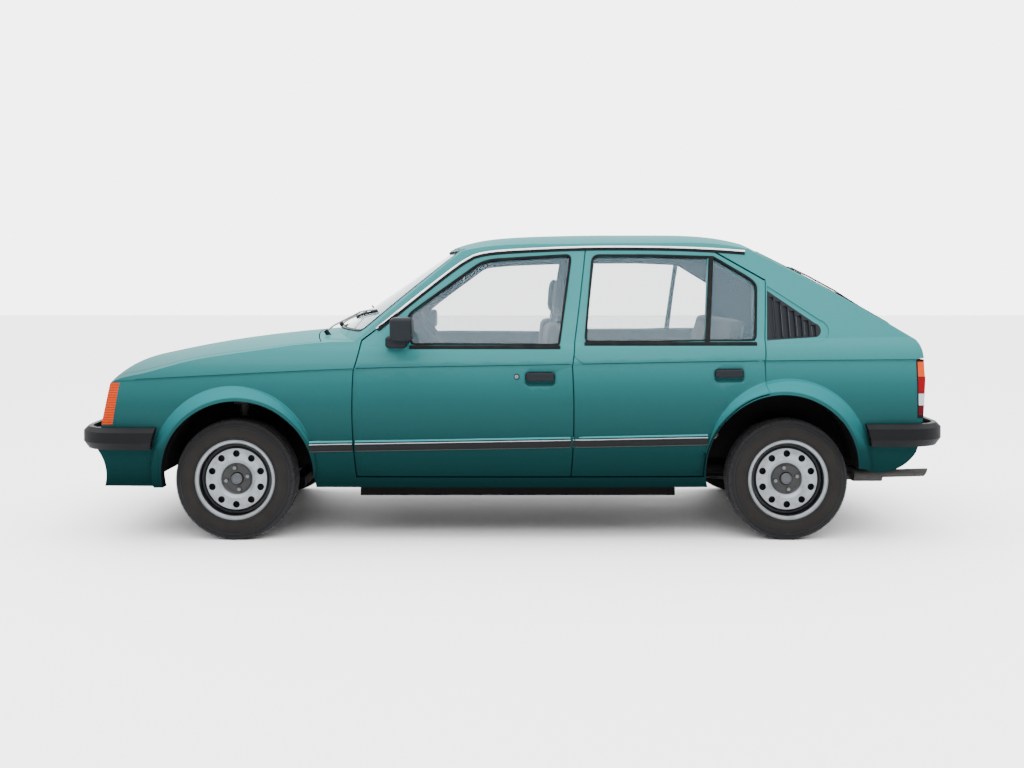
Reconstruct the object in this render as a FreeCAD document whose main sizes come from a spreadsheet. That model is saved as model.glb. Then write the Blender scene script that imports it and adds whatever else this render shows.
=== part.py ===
import FreeCAD, Part
import functools
import math
import os
import Sketcher

# Five-door compact hatchback. The front faces -X, the car's left side is -Y, +Z is up.
# The origin lies on the ground under the middle of the car. All sizes are in millimetres.

Vector = FreeCAD.Vector
Rotation = FreeCAD.Rotation
Placement = FreeCAD.Placement

SIZES = [
    ("bumper_reach", 1999, "middle of the car to the outermost face of each bumper"),
    ("front_overhang", 740, "front bumper face to the front wheel centre"),
    ("wheelbase", 2514, "front wheel centre to rear wheel centre"),
    ("track", 1300, "tyre centre to tyre centre across the car"),
    ("half_width", 803, "middle of the car to the door skin at its widest"),
    ("flare_stand", 15, "how far the arch flares stand out of the door skin"),
    ("sill_height", 247, "ground to the lower edge of the body"),
    ("crease_height", 800, "ground to the side crease amidships"),
    ("waist_height", 890, "ground to the window sill amidships"),
    ("cant_height", 1345, "ground to the drip rail amidships"),
    ("roof_height", 1412, "ground to the top of the roof on the centre line"),
    ("cant_inset", 225, "door skin to the drip rail, across the car"),
    ("door_wall", 62, "thickness of the lower doors and body sides"),
    ("frame_wall", 34, "thickness of the window frames and pillars"),
    ("panel_wall", 24, "thickness of bonnet, roof and tailgate"),
    ("shut_gap", 6, "gap round doors and lids"),
    ("seam", 0.8, "seam between panels fixed to each other"),
    ("seat_gap", 0.3, "clearance where a moving piece rests on its seat"),
    ("door_lap", 45, "how far a door laps over the opening behind it"),
    ("frame_depth", 45, "depth of the pillars and sills behind the doors"),
    ("fender_wall", 20, "thickness of the front fenders and the nose"),
    ("glass_wall", 5, "thickness of the window glass"),
    ("glass_inset", 10, "outer skin to the outer face of the glass"),
    ("tyre_radius", 275, "wheel centre to tread"),
    ("tyre_width", 157, "width of the tyre"),
    ("rim_radius", 182, "radius of the rim flange"),
    ("rim_width", 140, "width of the rim"),
    ("rim_wall", 6, "thickness of the rim steel"),
    ("rim_hole", 16, "radius of the round holes in the wheel disc"),
    ("rim_hole_circle", 116, "radius of the circle of wheel disc holes"),
    ("rim_hole_count", 10, "number of round holes in the wheel disc"),
    ("disc_crown", 139, "outer radius of the wheel disc's raised ring"),
    ("hub_radius", 68, "radius of the sunk plate that the wheel bolts clamp"),
    ("cap_radius", 25, "radius of the hub cap"),
    ("stub_radius", 14, "radius of the wheel stub axles"),
    ("engine_length", 430, "length of the engine along the car"),
    ("engine_width", 640, "width of the engine with its gearbox, across the car"),
    ("engine_height", 480, "height of the engine"),
    ("engine_foot", 320, "ground to the underside of the engine"),
    ("arch_radius", 342, "radius of the wheel arch openings"),
    ("front_arch_lift", 25, "front arch centre above the wheel centre"),
    ("rear_arch_lift", 53, "rear arch centre above the wheel centre"),
    ("flare_radius", 384, "radius of the arch flares at their base inside the skin"),
    ("flare_lift", 92, "how far the round base of a flare stands above the arch centre"),
    ("well_radius", 352, "inner radius of the wheelhouse lining"),
    ("well_wall", 8, "thickness of the wheelhouse lining"),
    ("front_well_depth", 395, "middle of the car to the front wheelhouse wall"),
    ("rear_well_depth", 520, "middle of the car to the rear wheelhouse wall"),
    ("lamp_low", 556, "ground to the lower edge of the headlamps"),
    ("lamp_high", 716, "ground to the upper edge of the headlamps"),
    ("lamp_inner", 430, "middle of the car to the inner edge of a headlamp"),
    ("lamp_outer", 682, "middle of the car to the outer edge of a headlamp"),
    ("lamp_depth", 60, "depth of the headlamp body behind its lens"),
    ("grille_slats", 6, "number of cross slats in the grille"),
    ("slat_thickness", 7, "thickness of a grille slat"),
    ("louvre_count", 7, "number of louvres in a side vent"),
    ("bumper_low", 420, "ground to the lower edge of the front bumper"),
    ("bumper_high", 519, "ground to the upper edge of the front bumper"),
    ("bumper_wall", 42, "thickness of the bumpers"),
    ("rear_bumper_low", 434, "ground to the lower edge of the rear bumper"),
    ("rear_bumper_high", 536, "ground to the upper edge of the rear bumper"),
    ("floor_wall", 26, "thickness of the floor with its ribs"),
    ("tunnel_half", 130, "half the width of the centre tunnel"),
    ("seat_width", 460, "width of a front seat"),
    ("seat_centre", 368, "middle of the car to the middle of a front seat"),
    ("wheel_grip", 190, "radius of the steering wheel"),
    ("grip_thickness", 13, "radius of the steering wheel's rim"),
    ("strut_radius", 26, "radius of the spring struts"),
    ("axle_radius", 24, "radius of the rear axle beam"),
    ("pipe_radius", 19, "radius of the exhaust pipe"),
    ("tank_length", 214, "length of the fuel tank along the car"),
    ("tank_half", 395, "half the width of the fuel tank"),
    ("tank_height", 138, "height of the fuel tank"),
]

document = FreeCAD.newDocument("hatchback")
sheet = document.addObject("Spreadsheet::Sheet", "car")
for row, (alias, number, meaning) in enumerate(SIZES, 1):
    sheet.set(f"A{row}", meaning)
    sheet.set(f"B{row}", str(number))
    sheet.setAlias(f"B{row}", alias)
document.recompute()


def size(alias):
    """The number in the sheet under this alias."""
    return float(getattr(sheet, alias))


wheelbase = size("wheelbase")
bumper_reach = size("bumper_reach")
half_width = size("half_width")
sill_height = size("sill_height")
crease_height = size("crease_height")
waist_height = size("waist_height")
cant_height = size("cant_height")
roof_height = size("roof_height")
shut_gap = size("shut_gap")
door_wall = size("door_wall")
frame_wall = size("frame_wall")
panel_wall = size("panel_wall")
tyre_radius = size("tyre_radius")
front_axle = size("front_overhang") - bumper_reach
rear_axle = front_axle + wheelbase


def fore(distance):
    """X of a point given from the front wheel centre, positive towards the tail."""
    return front_axle + distance


def aft(distance):
    """X of a point given from the rear wheel centre, positive towards the tail."""
    return rear_axle + distance


nodes = {}
crumb_share = 0.02


def node(label, shape_or_object):
    """Registers one sub-part under its node name."""
    if isinstance(shape_or_object, Part.Shape):
        piece = document.addObject("Part::Feature", label)
        piece.Shape = shape_or_object
    else:
        piece = shape_or_object
    piece.Label = label
    nodes[label] = piece
    return piece


def primitive(kind, name, sizes, place=(0, 0, 0)):
    """A Part primitive: sizes and place are numbers or expressions on the sheet."""
    piece = document.addObject("Part::" + kind, name)
    for key, value in sizes.items():
        if isinstance(value, str):
            piece.setExpression(key, value)
        else:
            setattr(piece, key, value)
    for key, value in zip("xyz", place):
        piece.setExpression("Placement.Base." + key, str(value))
    return piece


FRONT_X = "(car.front_overhang - car.bumper_reach)"
REAR_X = "(car.front_overhang - car.bumper_reach + car.wheelbase)"


def solid_only(shape):
    """The shape's solids, without the crumbs that a cut can leave at a corner."""
    largest = max(solid.Volume for solid in shape.Solids)
    solids = [solid for solid in shape.Solids if solid.Volume > crumb_share * largest]
    return solids[0] if len(solids) == 1 else Part.makeCompound(solids)


def mirrored(shape):
    """The same shape on the other side of the car."""
    return shape.mirror(Vector(0, 0, 0), Vector(0, 1, 0))


def both_sides(shape):
    return Part.makeCompound(shape.Solids + mirrored(shape).Solids)


def spline(points):
    curve = Part.BSplineCurve()
    curve.interpolate([Vector(*point) for point in points])
    return curve.toShape()


def outline_wire(points):
    """A closed wire through the points, with an arc where a point is given as (middle, end)."""
    edges = []
    here = points[0]
    for point in points[1:] + [points[0]]:
        if len(point) == 2:
            middle, end = point
            edges.append(Part.Arc(Vector(*here), Vector(*middle), Vector(*end)).toShape())
            here = end
        else:
            if Vector(*point).distanceToPoint(Vector(*here)) > 1e-6:
                edges.append(Part.makeLine(Vector(*here), Vector(*point)))
            here = point
    return Part.Wire(edges)


# Outer skin of the body

def through(points, x):
    """Height at x on a smooth line through the points, straight past its ends."""
    index = 0
    while index < len(points) - 2 and x > points[index + 1][0]:
        index += 1

    def slope(number):
        low = max(number - 1, 0)
        high = min(number + 1, len(points) - 1)
        return (points[high][1] - points[low][1]) / (points[high][0] - points[low][0])

    (x0, z0), (x1, z1) = points[index], points[index + 1]
    if x < x0:
        return z0 + slope(index) * (x - x0)
    if x > x1:
        return z1 + slope(index + 1) * (x - x1)
    step = (x - x0) / (x1 - x0)
    span = x1 - x0
    return ((2 * step ** 3 - 3 * step ** 2 + 1) * z0 + (step ** 3 - 2 * step ** 2 + step) * span * slope(index)
            + (3 * step ** 2 - 2 * step ** 3) * z1 + (step ** 3 - step ** 2) * span * slope(index + 1))


CREASE = [(fore(-516), crease_height - 69), (fore(541), crease_height - 15), (fore(1259), crease_height),
          (aft(-117), crease_height + 20), (aft(575), crease_height + 24)]
WAIST = [(fore(-541), waist_height - 22), (fore(802), waist_height + 2), (fore(1469), waist_height + 9),
         (aft(-152), waist_height + 25), (aft(595), waist_height + 35)]
plan_taper = 46
widest_height = 470
taper_reach = 1850


def side_points(x, inset, top_inset):
    """Half section of the body side at x, as (half width, height) points from the sill up."""
    crease = through(CREASE, x)
    waist = through(WAIST, x)
    half = half_width - plan_taper * (x / taper_reach) ** 2
    low = half - inset
    high = half - top_inset
    return [(low - 52, sill_height - 17), (low - 24, sill_height + 73), (low, widest_height),
            (low - 12, crease - 5), (low - 7, crease), (low - 24, (crease + waist) / 2), (low - 52, waist),
            (high - 134, (waist + cant_height) / 2), (high - size("cant_inset"), cant_height),
            (high - size("cant_inset") - 46, cant_height + 105)]


def side_section(x, inset, top_inset):
    """Closed cross section of the body at x."""
    halves = []
    for side in (-1, 1):
        q = [(x, side * width, height) for width, height in side_points(x, inset, top_inset)]
        halves.append([Part.makeLine(Vector(*q[0]), Vector(*q[1])), spline(q[1:4]),
                       Part.makeLine(Vector(*q[3]), Vector(*q[4])), spline(q[4:7]), spline(q[6:10]), q])
    left, right = halves
    top = Part.makeLine(Vector(*left[5][9]), Vector(*right[5][9]))
    bottom = Part.makeLine(Vector(*right[5][0]), Vector(*left[5][0]))
    return Part.Wire(Part.__sortEdges__(left[:5] + right[:5] + [top, bottom]))


STATIONS = [fore(-800), fore(-500), fore(-200), fore(100), fore(500), fore(900), fore(1259), fore(1600),
            aft(-450), aft(-150), aft(150), aft(450), aft(800)]


@functools.lru_cache(maxsize=None)
def side_loft(inset, top_inset):
    """The body's width, inset from the outer skin."""
    return Part.makeLoft([side_section(x, inset, top_inset) for x in STATIONS], True, False)


def long_profile(y, inset):
    """Closed long section of the body at y: nose, bonnet, windscreen, roof, hatch and tail."""
    bow = (y / 700) ** 2
    crown = 0.5 * bow + 0.5 * bow ** 2

    def at(x, z, back=0, drop=0, curve=bow):
        return (x + back * curve, y, z - drop * curve)

    chin = [at(fore(-645) + inset, sill_height, 50), at(fore(-638) + inset, sill_height + 90, 50),
            at(fore(-670) + inset, sill_height + 168, 50)]
    lamp_foot = at(fore(-679) + inset, sill_height + 298, 75)
    lip = at(fore(-621) + inset, waist_height - 130 - inset, 55, 38)
    bonnet = [lip, at(fore(-591) + inset * 0.8, waist_height - 105 - inset, 55, 45),
              at(fore(-491), waist_height - 71 - inset, 45, 55),
              at(fore(-241), waist_height - 21 - inset, 30, 46), at(fore(9), waist_height + 16 - inset, 15, 46),
              at(fore(259), waist_height + 42 - inset, 5, 40), at(fore(389), waist_height + 53 - inset, 140, 34)]
    screen_foot = bonnet[-1]
    screen_top = at(fore(969) + inset * 0.4, roof_height - 67 - inset, 85, 36)
    roof = [screen_top, at(fore(1096), roof_height - 30 - inset, 60, 62),
            at(fore(1300), roof_height - 10 - inset, 30, 90, crown),
            at(fore(1504), roof_height - 3 - inset, 10, 100, crown),
            at(aft(-805), roof_height - inset, 0, 101, crown),
            at(aft(-602), roof_height - inset, 0, 101, crown), at(aft(-297), roof_height - 10 - inset, -20, 92, crown),
            at(aft(-130), roof_height - 40 - inset, -40, 64)]
    hatch_top = roof[-1]
    hatch_foot = at(aft(638) - inset * 0.8, waist_height + 50 - inset * 0.5, -55, 25)
    hatch_bulge = 13

    def hatch(share):
        rise = hatch_bulge * 4 * share * (1 - share)
        return (hatch_top[0] + (hatch_foot[0] - hatch_top[0]) * share, y,
                hatch_top[2] + (hatch_foot[2] - hatch_top[2]) * share + rise)

    tail = [hatch_foot, at(aft(666) - inset, waist_height - 10, -60), at(aft(676) - inset, waist_height - 57, -60),
            at(aft(682) - inset, waist_height - 147, -60)]
    tail_waist = at(aft(672) - inset, waist_height - 315, -60)
    tail_foot = at(aft(650) - inset, waist_height - 455, -60)
    floor = sill_height if not inset else sill_height - 60
    tail_floor = (tail_foot[0] - 60, y, floor)
    nose_floor = (chin[0][0], y, floor)
    edges = [spline(chin), Part.makeLine(Vector(*chin[2]), Vector(*lamp_foot)),
             Part.makeLine(Vector(*lamp_foot), Vector(*lip)), spline(bonnet),
             Part.makeLine(Vector(*screen_foot), Vector(*screen_top)), spline(roof),
             spline([hatch_top, hatch(0.25), hatch(0.5), hatch(0.75), hatch_foot]), spline(tail),
             Part.makeLine(Vector(*tail[-1]), Vector(*tail_waist)),
             Part.makeLine(Vector(*tail_waist), Vector(*tail_foot)),
             Part.makeLine(Vector(*tail_foot), Vector(*tail_floor))]
    if inset:
        edges.append(Part.makeLine(Vector(*nose_floor), Vector(*chin[0])))
    edges.append(Part.makeLine(Vector(*tail_floor), Vector(*nose_floor)))
    return Part.Wire(Part.__sortEdges__(edges))


RIBS = [-860, -600, -350, 0, 350, 600, 860]


@functools.lru_cache(maxsize=None)
def long_loft(inset):
    """The body's long shape, inset from the outer skin."""
    return Part.makeLoft([long_profile(y, inset) for y in RIBS], True, False)


def swept(points, lift, push):
    """A flat outline, lifted into space and pushed into a solid."""
    lifted = [tuple(lift(*end) for end in point) if isinstance(point[0], tuple) else lift(*point)
              for point in points]
    return Part.Face(outline_wire(lifted)).extrude(Vector(*push))


def prism(points, depth_from, depth_to, slant=0.0):
    """Side-view outline (x, z) pushed across the car from one y to another."""
    across = depth_to - depth_from
    return swept(points, lambda x, z: (x, depth_from, z), (-slant * across, across, 0))


def front_prism(points, from_x, to_x):
    """End-view outline (y, z) pushed along the car."""
    return swept(points, lambda y, z: (from_x, y, z), (to_x - from_x, 0, 0))


def plan_prism(points, from_z, to_z):
    """Plan outline (x, y) pushed upwards."""
    return swept(points, lambda x, y: (x, y, from_z), (0, 0, to_z - from_z))


def block(x0, x1, y0, y1, z0, z1):
    return Part.makeBox(x1 - x0, y1 - y0, z1 - z0, Vector(x0, y0, z0))


def rod(start, end, radius):
    """A round bar between two points."""
    direction = Vector(*end) - Vector(*start)
    return Part.makeCylinder(radius, direction.Length, Vector(*start), direction)


arch_radius = size("arch_radius")
front_arch = (fore(23), tyre_radius + size("front_arch_lift"))
rear_arch = (aft(-39), tyre_radius + size("rear_arch_lift"))
outside = -half_width - 60
lip_land = 18
flare_base = -half_width + plan_taper + 40


def arch_disc(centre, radius, from_y, to_y):
    return Part.makeCylinder(radius, to_y - from_y, Vector(centre[0], from_y, centre[1]), Vector(0, 1, 0))


def flare(centre, shift):
    """The raised band round one left wheel arch: a leaning cone that thins out towards the sill."""
    lip_y = -half_width - size("flare_stand")
    rings = []
    for radius, x, z, y in ((size("flare_radius"), centre[0] + shift, centre[1] + size("flare_lift"), flare_base),
                            (arch_radius + lip_land, centre[0], centre[1], lip_y)):
        rings.append(Part.Wire(Part.makeCircle(radius, Vector(x, y, z), Vector(0, -1, 0))))
    crest = centre[1] + arch_radius
    tucked = front_prism([(lip_y, crest + 300), (lip_y, crest - 80), (lip_y + 54, sill_height), (0, sill_height),
                          (0, crest + 300)], centre[0] - 500, centre[0] + 500)
    return Part.makeLoft(rings, True, True).common(tucked)


def build_skin():
    """Outer body, and the hollow under its skin, with arches still closed."""
    width = side_loft(0, 0)
    length = long_loft(0)
    outer = width.common(length)
    flares = [flare(front_arch, -39), flare(rear_arch, 60)]
    flares += [mirrored(piece) for piece in flares]
    outer = outer.fuse(flares)
    hollow = side_loft(door_wall, frame_wall).common(long_loft(panel_wall))
    return outer, hollow


outer_body, hollow = build_skin()
arch_cuts = []
for arch in (front_arch, rear_arch):
    for low_y, high_y in ((outside, 0), (0, -outside)):
        arch_cuts.append(arch_disc(arch, arch_radius, low_y, high_y))
arch_run_out = prism([(front_arch[0], front_arch[1]), (front_arch[0] + arch_radius, front_arch[1] + 30),
                      (front_arch[0] + arch_radius + 14, sill_height - 40), (front_arch[0], sill_height - 40)],
                     outside, -outside)
low_tail = prism([(rear_arch[0] + 100, sill_height - 40), (rear_arch[0] + 100, sill_height + 86),
                  (aft(332), sill_height + 86), ((aft(540), sill_height + 118), (aft(580), sill_height + 176)),
                  (aft(800), sill_height + 176), (aft(800), sill_height - 40)], outside, -outside)
shell = outer_body.cut([hollow] + arch_cuts).cut(low_tail)
left_half = block(fore(-900), aft(900), outside, 0, 0, roof_height + 100)
left_shell = solid_only(shell.common(left_half))


# Doors, cut out of the left side of the shell along slanted edges so that they swing clear

door_slant = 0.35


def half_width_at(x, z):
    """Half width of the outer skin at this place."""
    points = side_points(x, 0, 0)
    for (w0, z0), (w1, z1) in zip(points, points[1:]):
        if z0 <= z <= z1:
            return w0 + (w1 - w0) * (z - z0) / max(z1 - z0, 1e-6)
    return points[-1][0]


def slanted(points):
    """Moves side-view points so that a slanted prism from the outside plane meets them on the skin."""
    def move(x, z):
        return (x + door_slant * (-outside - half_width_at(x, z)), z)

    return [tuple(move(*end) for end in point) if isinstance(point[0], tuple) else move(*point)
            for point in points]


def arch_point(centre, radius, angle):
    turn = math.radians(angle)
    return (centre[0] + radius * math.cos(turn), centre[1] + radius * math.sin(turn))


door_foot = sill_height + 53
door_arch = arch_radius + 14


def front_door_outline(grow):
    """Outline of the left front door, or of its opening when grown by the shut gap."""
    g = grow
    return [(fore(563) - g, door_foot - g), ((fore(542) - g, crease_height - 200), (fore(551) - g, crease_height - 16)),
            (fore(582) - g, waist_height + 17 + g),
            (fore(793), waist_height + 182 + g), (fore(975), waist_height + 324 + g),
            (fore(1060), cant_height - 68 + g), (fore(1120), cant_height - 45 + g), (fore(1250), cant_height - 33 + g),
            (fore(1598) + g, cant_height - 20 + g), (fore(1529) + g, crease_height + 5), (fore(1521) + g, door_foot - g)]


def rear_door_outline(grow):
    """Outline of the left rear door, with its rear edge round the wheel arch."""
    g = grow
    radius = door_arch - g
    foot = (rear_arch[0] - math.sqrt(radius ** 2 - (door_foot - g - rear_arch[1]) ** 2), door_foot - g)
    head_angle = 103
    head = arch_point(rear_arch, radius, head_angle)
    middle = arch_point(rear_arch, radius, (head_angle + 182) / 2)
    return [(fore(1527) - g, door_foot - g), (fore(1535) - g, crease_height + 5), (fore(1604) - g, cant_height - 20 + g),
            (aft(-560), cant_height - 19 + g), (aft(-320) + g, cant_height - 29 + g),
            (aft(-88) + g, waist_height + 289 + g), (aft(-117) + g, crease_height + 20),
            head, (middle, foot)]


def door_solid(outline, grow):
    """The slanted prism that cuts a left door, or its opening, out of the side."""
    return prism(slanted(outline(grow)), outside, outside + 480, door_slant)


front_window = [(fore(802), waist_height + 2), (fore(1469), waist_height - 2), (fore(1530), waist_height + 403),
                (fore(1497), waist_height + 403), (fore(1167), waist_height + 383),
                (fore(1112), waist_height + 368), (fore(784), waist_height + 129)]
rear_window = [(aft(-922), waist_height + 13), (aft(-154), waist_height + 18), (aft(-132), waist_height + 267),
               (aft(-157), waist_height + 295), (aft(-320), waist_height + 395), (aft(-600), waist_height + 403),
               (aft(-878), waist_height + 403)]
divider = [(aft(-382), waist_height), (aft(-361), waist_height), (aft(-320), cant_height), (aft(-341), cant_height)]


def side_layer(outer, inner):
    """A layer of the body side between two insets, each as (lower, upper)."""
    return side_loft(*outer).cut(side_loft(*inner))


def aperture(outline):
    """The straight way through the body side behind a door, smaller than the door by its lap."""
    faces = prism(outline(0), outside, 0).Faces
    outer_face = [face for face in faces if abs(face.CenterOfMass.y - outside) < 1][0]
    ring = outer_face.OuterWire.makeOffset2D(-size("door_lap"), 2, False, False)
    return Part.Face(ring).extrude(Vector(0, -outside - 300, 0))


def door_solids(outline, openings):
    """A left door with its window cut out, and its hinge leaves seated on the post behind it."""
    door = left_shell.common(door_solid(outline, 0)).cut(openings)
    front = outline(0)[0][0]
    leaf_skin = side_layer((door_wall - 2, frame_wall), (door_wall + shut_gap - size("seat_gap"), frame_wall))
    leaves = []
    for height in (door_foot + 110, crease_height - 70):
        leaves.append(leaf_skin.common(block(front + 10, front + 42, outside, 0, height, height + 46)))
    return solid_only(door.fuse(leaves))


front_opening = prism(front_window, outside, -300)
rear_opening = prism(rear_window, outside, -300).cut(prism(divider, outside, -300))
front_door = door_solids(front_door_outline, front_opening)
rear_door = door_solids(rear_door_outline, rear_opening)
pane_face = size("glass_inset")
pane_back = pane_face + size("glass_wall")
side_glass = side_layer((pane_face, pane_face), (pane_back, pane_back))
front_pane = solid_only(side_glass.common(front_opening))
rear_pane = solid_only(side_glass.common(rear_opening))


# Bonnet, screens, roof and tailgate

shoulder_half = half_width - 103
lip_height = size("lamp_high") + 12


def bonnet_region(grow):
    """The bonnet seen from above, or its opening when grown by the shut gap."""
    g = grow
    back = fore(386) + g
    outline = [(back, -shoulder_half - g), ((fore(305) + g, 0), (back, shoulder_half + g)),
               (fore(-515), shoulder_half - 32 + g), (fore(-700), shoulder_half - 40 + g),
               (fore(-700), -shoulder_half + 40 - g), (fore(-515), -shoulder_half + 32 - g)]
    return plan_prism(outline, lip_height - g, waist_height + 120)


def gate_region(grow):
    """The tailgate's room, or its opening when grown by the shut gap: its slanted side edges are cut square to the
    hatch, the way that they swing."""
    g = grow
    way = Vector(hatch_chord.z, 0, -hatch_chord.x).normalize() * hatch_reach

    def on_hatch(y, z):
        share = (hatch_start.z - z) / -hatch_chord.z
        return (hatch_start.x + hatch_chord.x * share + way.x, y, z + way.z)

    start = roof_rear + shut_gap - g
    corner = hatch_end.z - 10
    half = [(530 + g, hatch_start.z + 30), (gate_half + g, corner), (gate_half + g, corner - hatch_reach)]
    outline = [(-y, z) for y, z in half] + [(y, z) for y, z in reversed(half)]
    above_lamps = block(start, bumper_reach, outside, -outside, waist_height + 10, roof_height + 20)
    upper = swept(outline, on_hatch, -way * 2).common(above_lamps)
    half = [(gate_half + g, corner + 5), (gate_half + g, lamp_top + shut_gap - g),
            (lamp_inner_edge - shut_gap + g, lamp_top + shut_gap - g),
            (lamp_inner_edge - shut_gap + g, gate_foot - g)]
    outline = [(-y, z) for y, z in half] + [(y, z) for y, z in reversed(half)]
    edge_x, _, edge_z = on_hatch(0, corner)
    far_z = edge_z - 2 * way.z
    past_corner = prism([(edge_x, edge_z), (edge_x - 2 * way.x, far_z), (bumper_reach, far_z), (bumper_reach, 0),
                         (aft(500), 0), (aft(500), edge_z)], outside, -outside)
    lower = front_prism(outline, start, bumper_reach).common(past_corner)
    behind = prism([(start, roof_height + 20), (start, roof_height - 132 - g), (aft(555) - g, waist_height - 15 - g),
                    (aft(530) - g, gate_foot - g), (bumper_reach, gate_foot - g), (bumper_reach, roof_height + 20)],
                   outside, -outside)
    return upper.fuse(lower).common(behind)


gate_half = 695
lamp_inner_edge = 466
lamp_front_edge = aft(573)
lamp_top = crease_height + 24
lamp_foot_height = crease_height - 239
gate_foot = size("rear_bumper_high") + 50
roof_rear = aft(-140)
roof_half = half_width - size("cant_inset") - 33
hatch_start = Vector(roof_rear, 0, roof_height - 40)
hatch_end = Vector(aft(638), 0, waist_height + 50)
hatch_chord = hatch_end - hatch_start
hatch_reach = 220
header_height = roof_height - 90
screen_region = front_prism([(-shoulder_half + 32, waist_height + 58), (-shoulder_half + 173, header_height),
                             (shoulder_half - 173, header_height), (shoulder_half - 32, waist_height + 58)],
                            fore(300), fore(1100))
gate_window = front_prism([(-572, waist_height + 88), (-452, roof_height - 100), (452, roof_height - 100),
                           (572, waist_height + 88)], roof_rear, bumper_reach)
long_glass = long_loft(pane_face).cut(long_loft(pane_back))
windscreen = solid_only(long_glass.common(screen_region))
gate_pane = solid_only(long_glass.common(gate_window))
bonnet = solid_only(shell.common(bonnet_region(0)))
tailgate = solid_only(shell.common(gate_region(0)).cut(gate_window))
roof_region = block(fore(850), roof_rear, -roof_half, roof_half, roof_height - 125, roof_height + 20)
roof_panel = solid_only(shell.common(roof_region).cut(screen_region))
foot_layer = long_loft(panel_wall - 1).cut(long_loft(panel_wall + 12))
gate_clearance = block(roof_rear + 3, roof_rear + 80, -roof_half, roof_half, 0, roof_height + 20).cut(
    long_loft(panel_wall + size("seat_gap")))
gate_feet = []
for y in (-430, 370):
    foot = block(roof_rear - 30, roof_rear + 34, y, y + 60, roof_height - 140, roof_height + 20)
    gate_feet.append(foot_layer.common(foot).cut(gate_clearance))
roof_panel = solid_only(roof_panel.fuse(gate_feet))

# Front end: fenders, nose and cowl

thin_wall = size("fender_wall")
thin_hollow = side_loft(thin_wall, thin_wall).common(long_loft(thin_wall))
front_skin = outer_body.cut([thin_hollow] + arch_cuts[:2])
seam = size("seam")
nose_back = fore(-531)
apron_back = fore(-331)
apron_top = size("bumper_low") + 5


def nose_region(grow):
    upper = block(fore(-900), nose_back + grow, outside, -outside, 0, waist_height)
    return upper.fuse(block(fore(-900), apron_back + grow, outside, -outside, 0, apron_top + grow))


cowl_half = shoulder_half + 6
cowl_region = block(fore(300), fore(570), -cowl_half, cowl_half, waist_height - 60, waist_height + 58)
door_edge = front_door_outline(shut_gap)[:3]
fender_line = [(fore(570) - shut_gap, sill_height - 10)] + door_edge + [
    (fore(510), waist_height + 17 + shut_gap), (fore(510), waist_height + 100),
    (fore(-900), waist_height + 100), (fore(-900), sill_height - 10)]
fender_region = prism(slanted(fender_line), outside, -shoulder_half + 70, door_slant)
lamp_low = size("lamp_low")
lamp_high = size("lamp_high")
lamp_inner = size("lamp_inner")
lamp_outer = size("lamp_outer")
corner_line = [(fore(-543), lamp_low - 25), (fore(-515), lamp_high + 4), (fore(-900), lamp_high + 4),
               (fore(-900), lamp_low - 25)]
indicator_edge = lamp_outer + 8


def lamp_region(grow):
    """Left headlamp opening seen from the front."""
    g = grow
    return front_prism([(-lamp_outer - g, lamp_low - g), (-lamp_inner + g, lamp_low - g),
                        (-lamp_inner + g, lamp_high + g), (-lamp_outer - g, lamp_high + g)],
                       fore(-900), fore(-450))


grille_half = lamp_inner - 8
grille_region = block(fore(-900), fore(-500), -grille_half, grille_half, lamp_low, lamp_high)
indicator_region = prism(corner_line, outside, -indicator_edge)
fender = solid_only(front_skin.common(fender_region)
                    .cut([nose_region(seam), bonnet_region(shut_gap), cowl_region, indicator_region, arch_run_out]))
nose_panel = solid_only(front_skin.common(nose_region(0))
                        .cut([bonnet_region(shut_gap), grille_region, lamp_region(0), mirrored(lamp_region(0)),
                              indicator_region, mirrored(indicator_region)]))
hinge_clearance = door_solid(front_door_outline, shut_gap)
cowl = solid_only(shell.common(cowl_region).cut([screen_region, bonnet_region(shut_gap)])
                  .cut([hinge_clearance, mirrored(hinge_clearance)]))
lamp_layer = long_loft(3).cut(long_loft(size("lamp_depth")))
headlamp = solid_only(lamp_layer.common(lamp_region(-seam / 2)))
indicator = solid_only(outer_body.common(indicator_region)
                       .cut(side_loft(thin_wall + 6, thin_wall + 6).common(long_loft(thin_wall + 6))))
slat_pitch = (lamp_high - lamp_low) / size("grille_slats")
slat_layer = long_loft(6).cut(long_loft(34))
back_layer = long_loft(34).cut(long_loft(38))
slats = [back_layer.common(grille_region)]
for number in range(int(size("grille_slats")) + 1):
    middle = lamp_low + number * slat_pitch
    low = max(middle - size("slat_thickness") / 2, lamp_low)
    high = min(middle + size("slat_thickness") / 2, lamp_high)
    slats.append(slat_layer.common(block(fore(-900), fore(-500), -grille_half, grille_half, low, high)))
for y in (-grille_half, -grille_half / 3, grille_half / 3 - size("slat_thickness"), grille_half - size("slat_thickness")):
    slats.append(slat_layer.common(block(fore(-900), fore(-500), y, y + size("slat_thickness"), lamp_low, lamp_high)))
grille = slats[0].fuse(slats[1:])

# Body sides, with pillars and sills behind the doors

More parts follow.
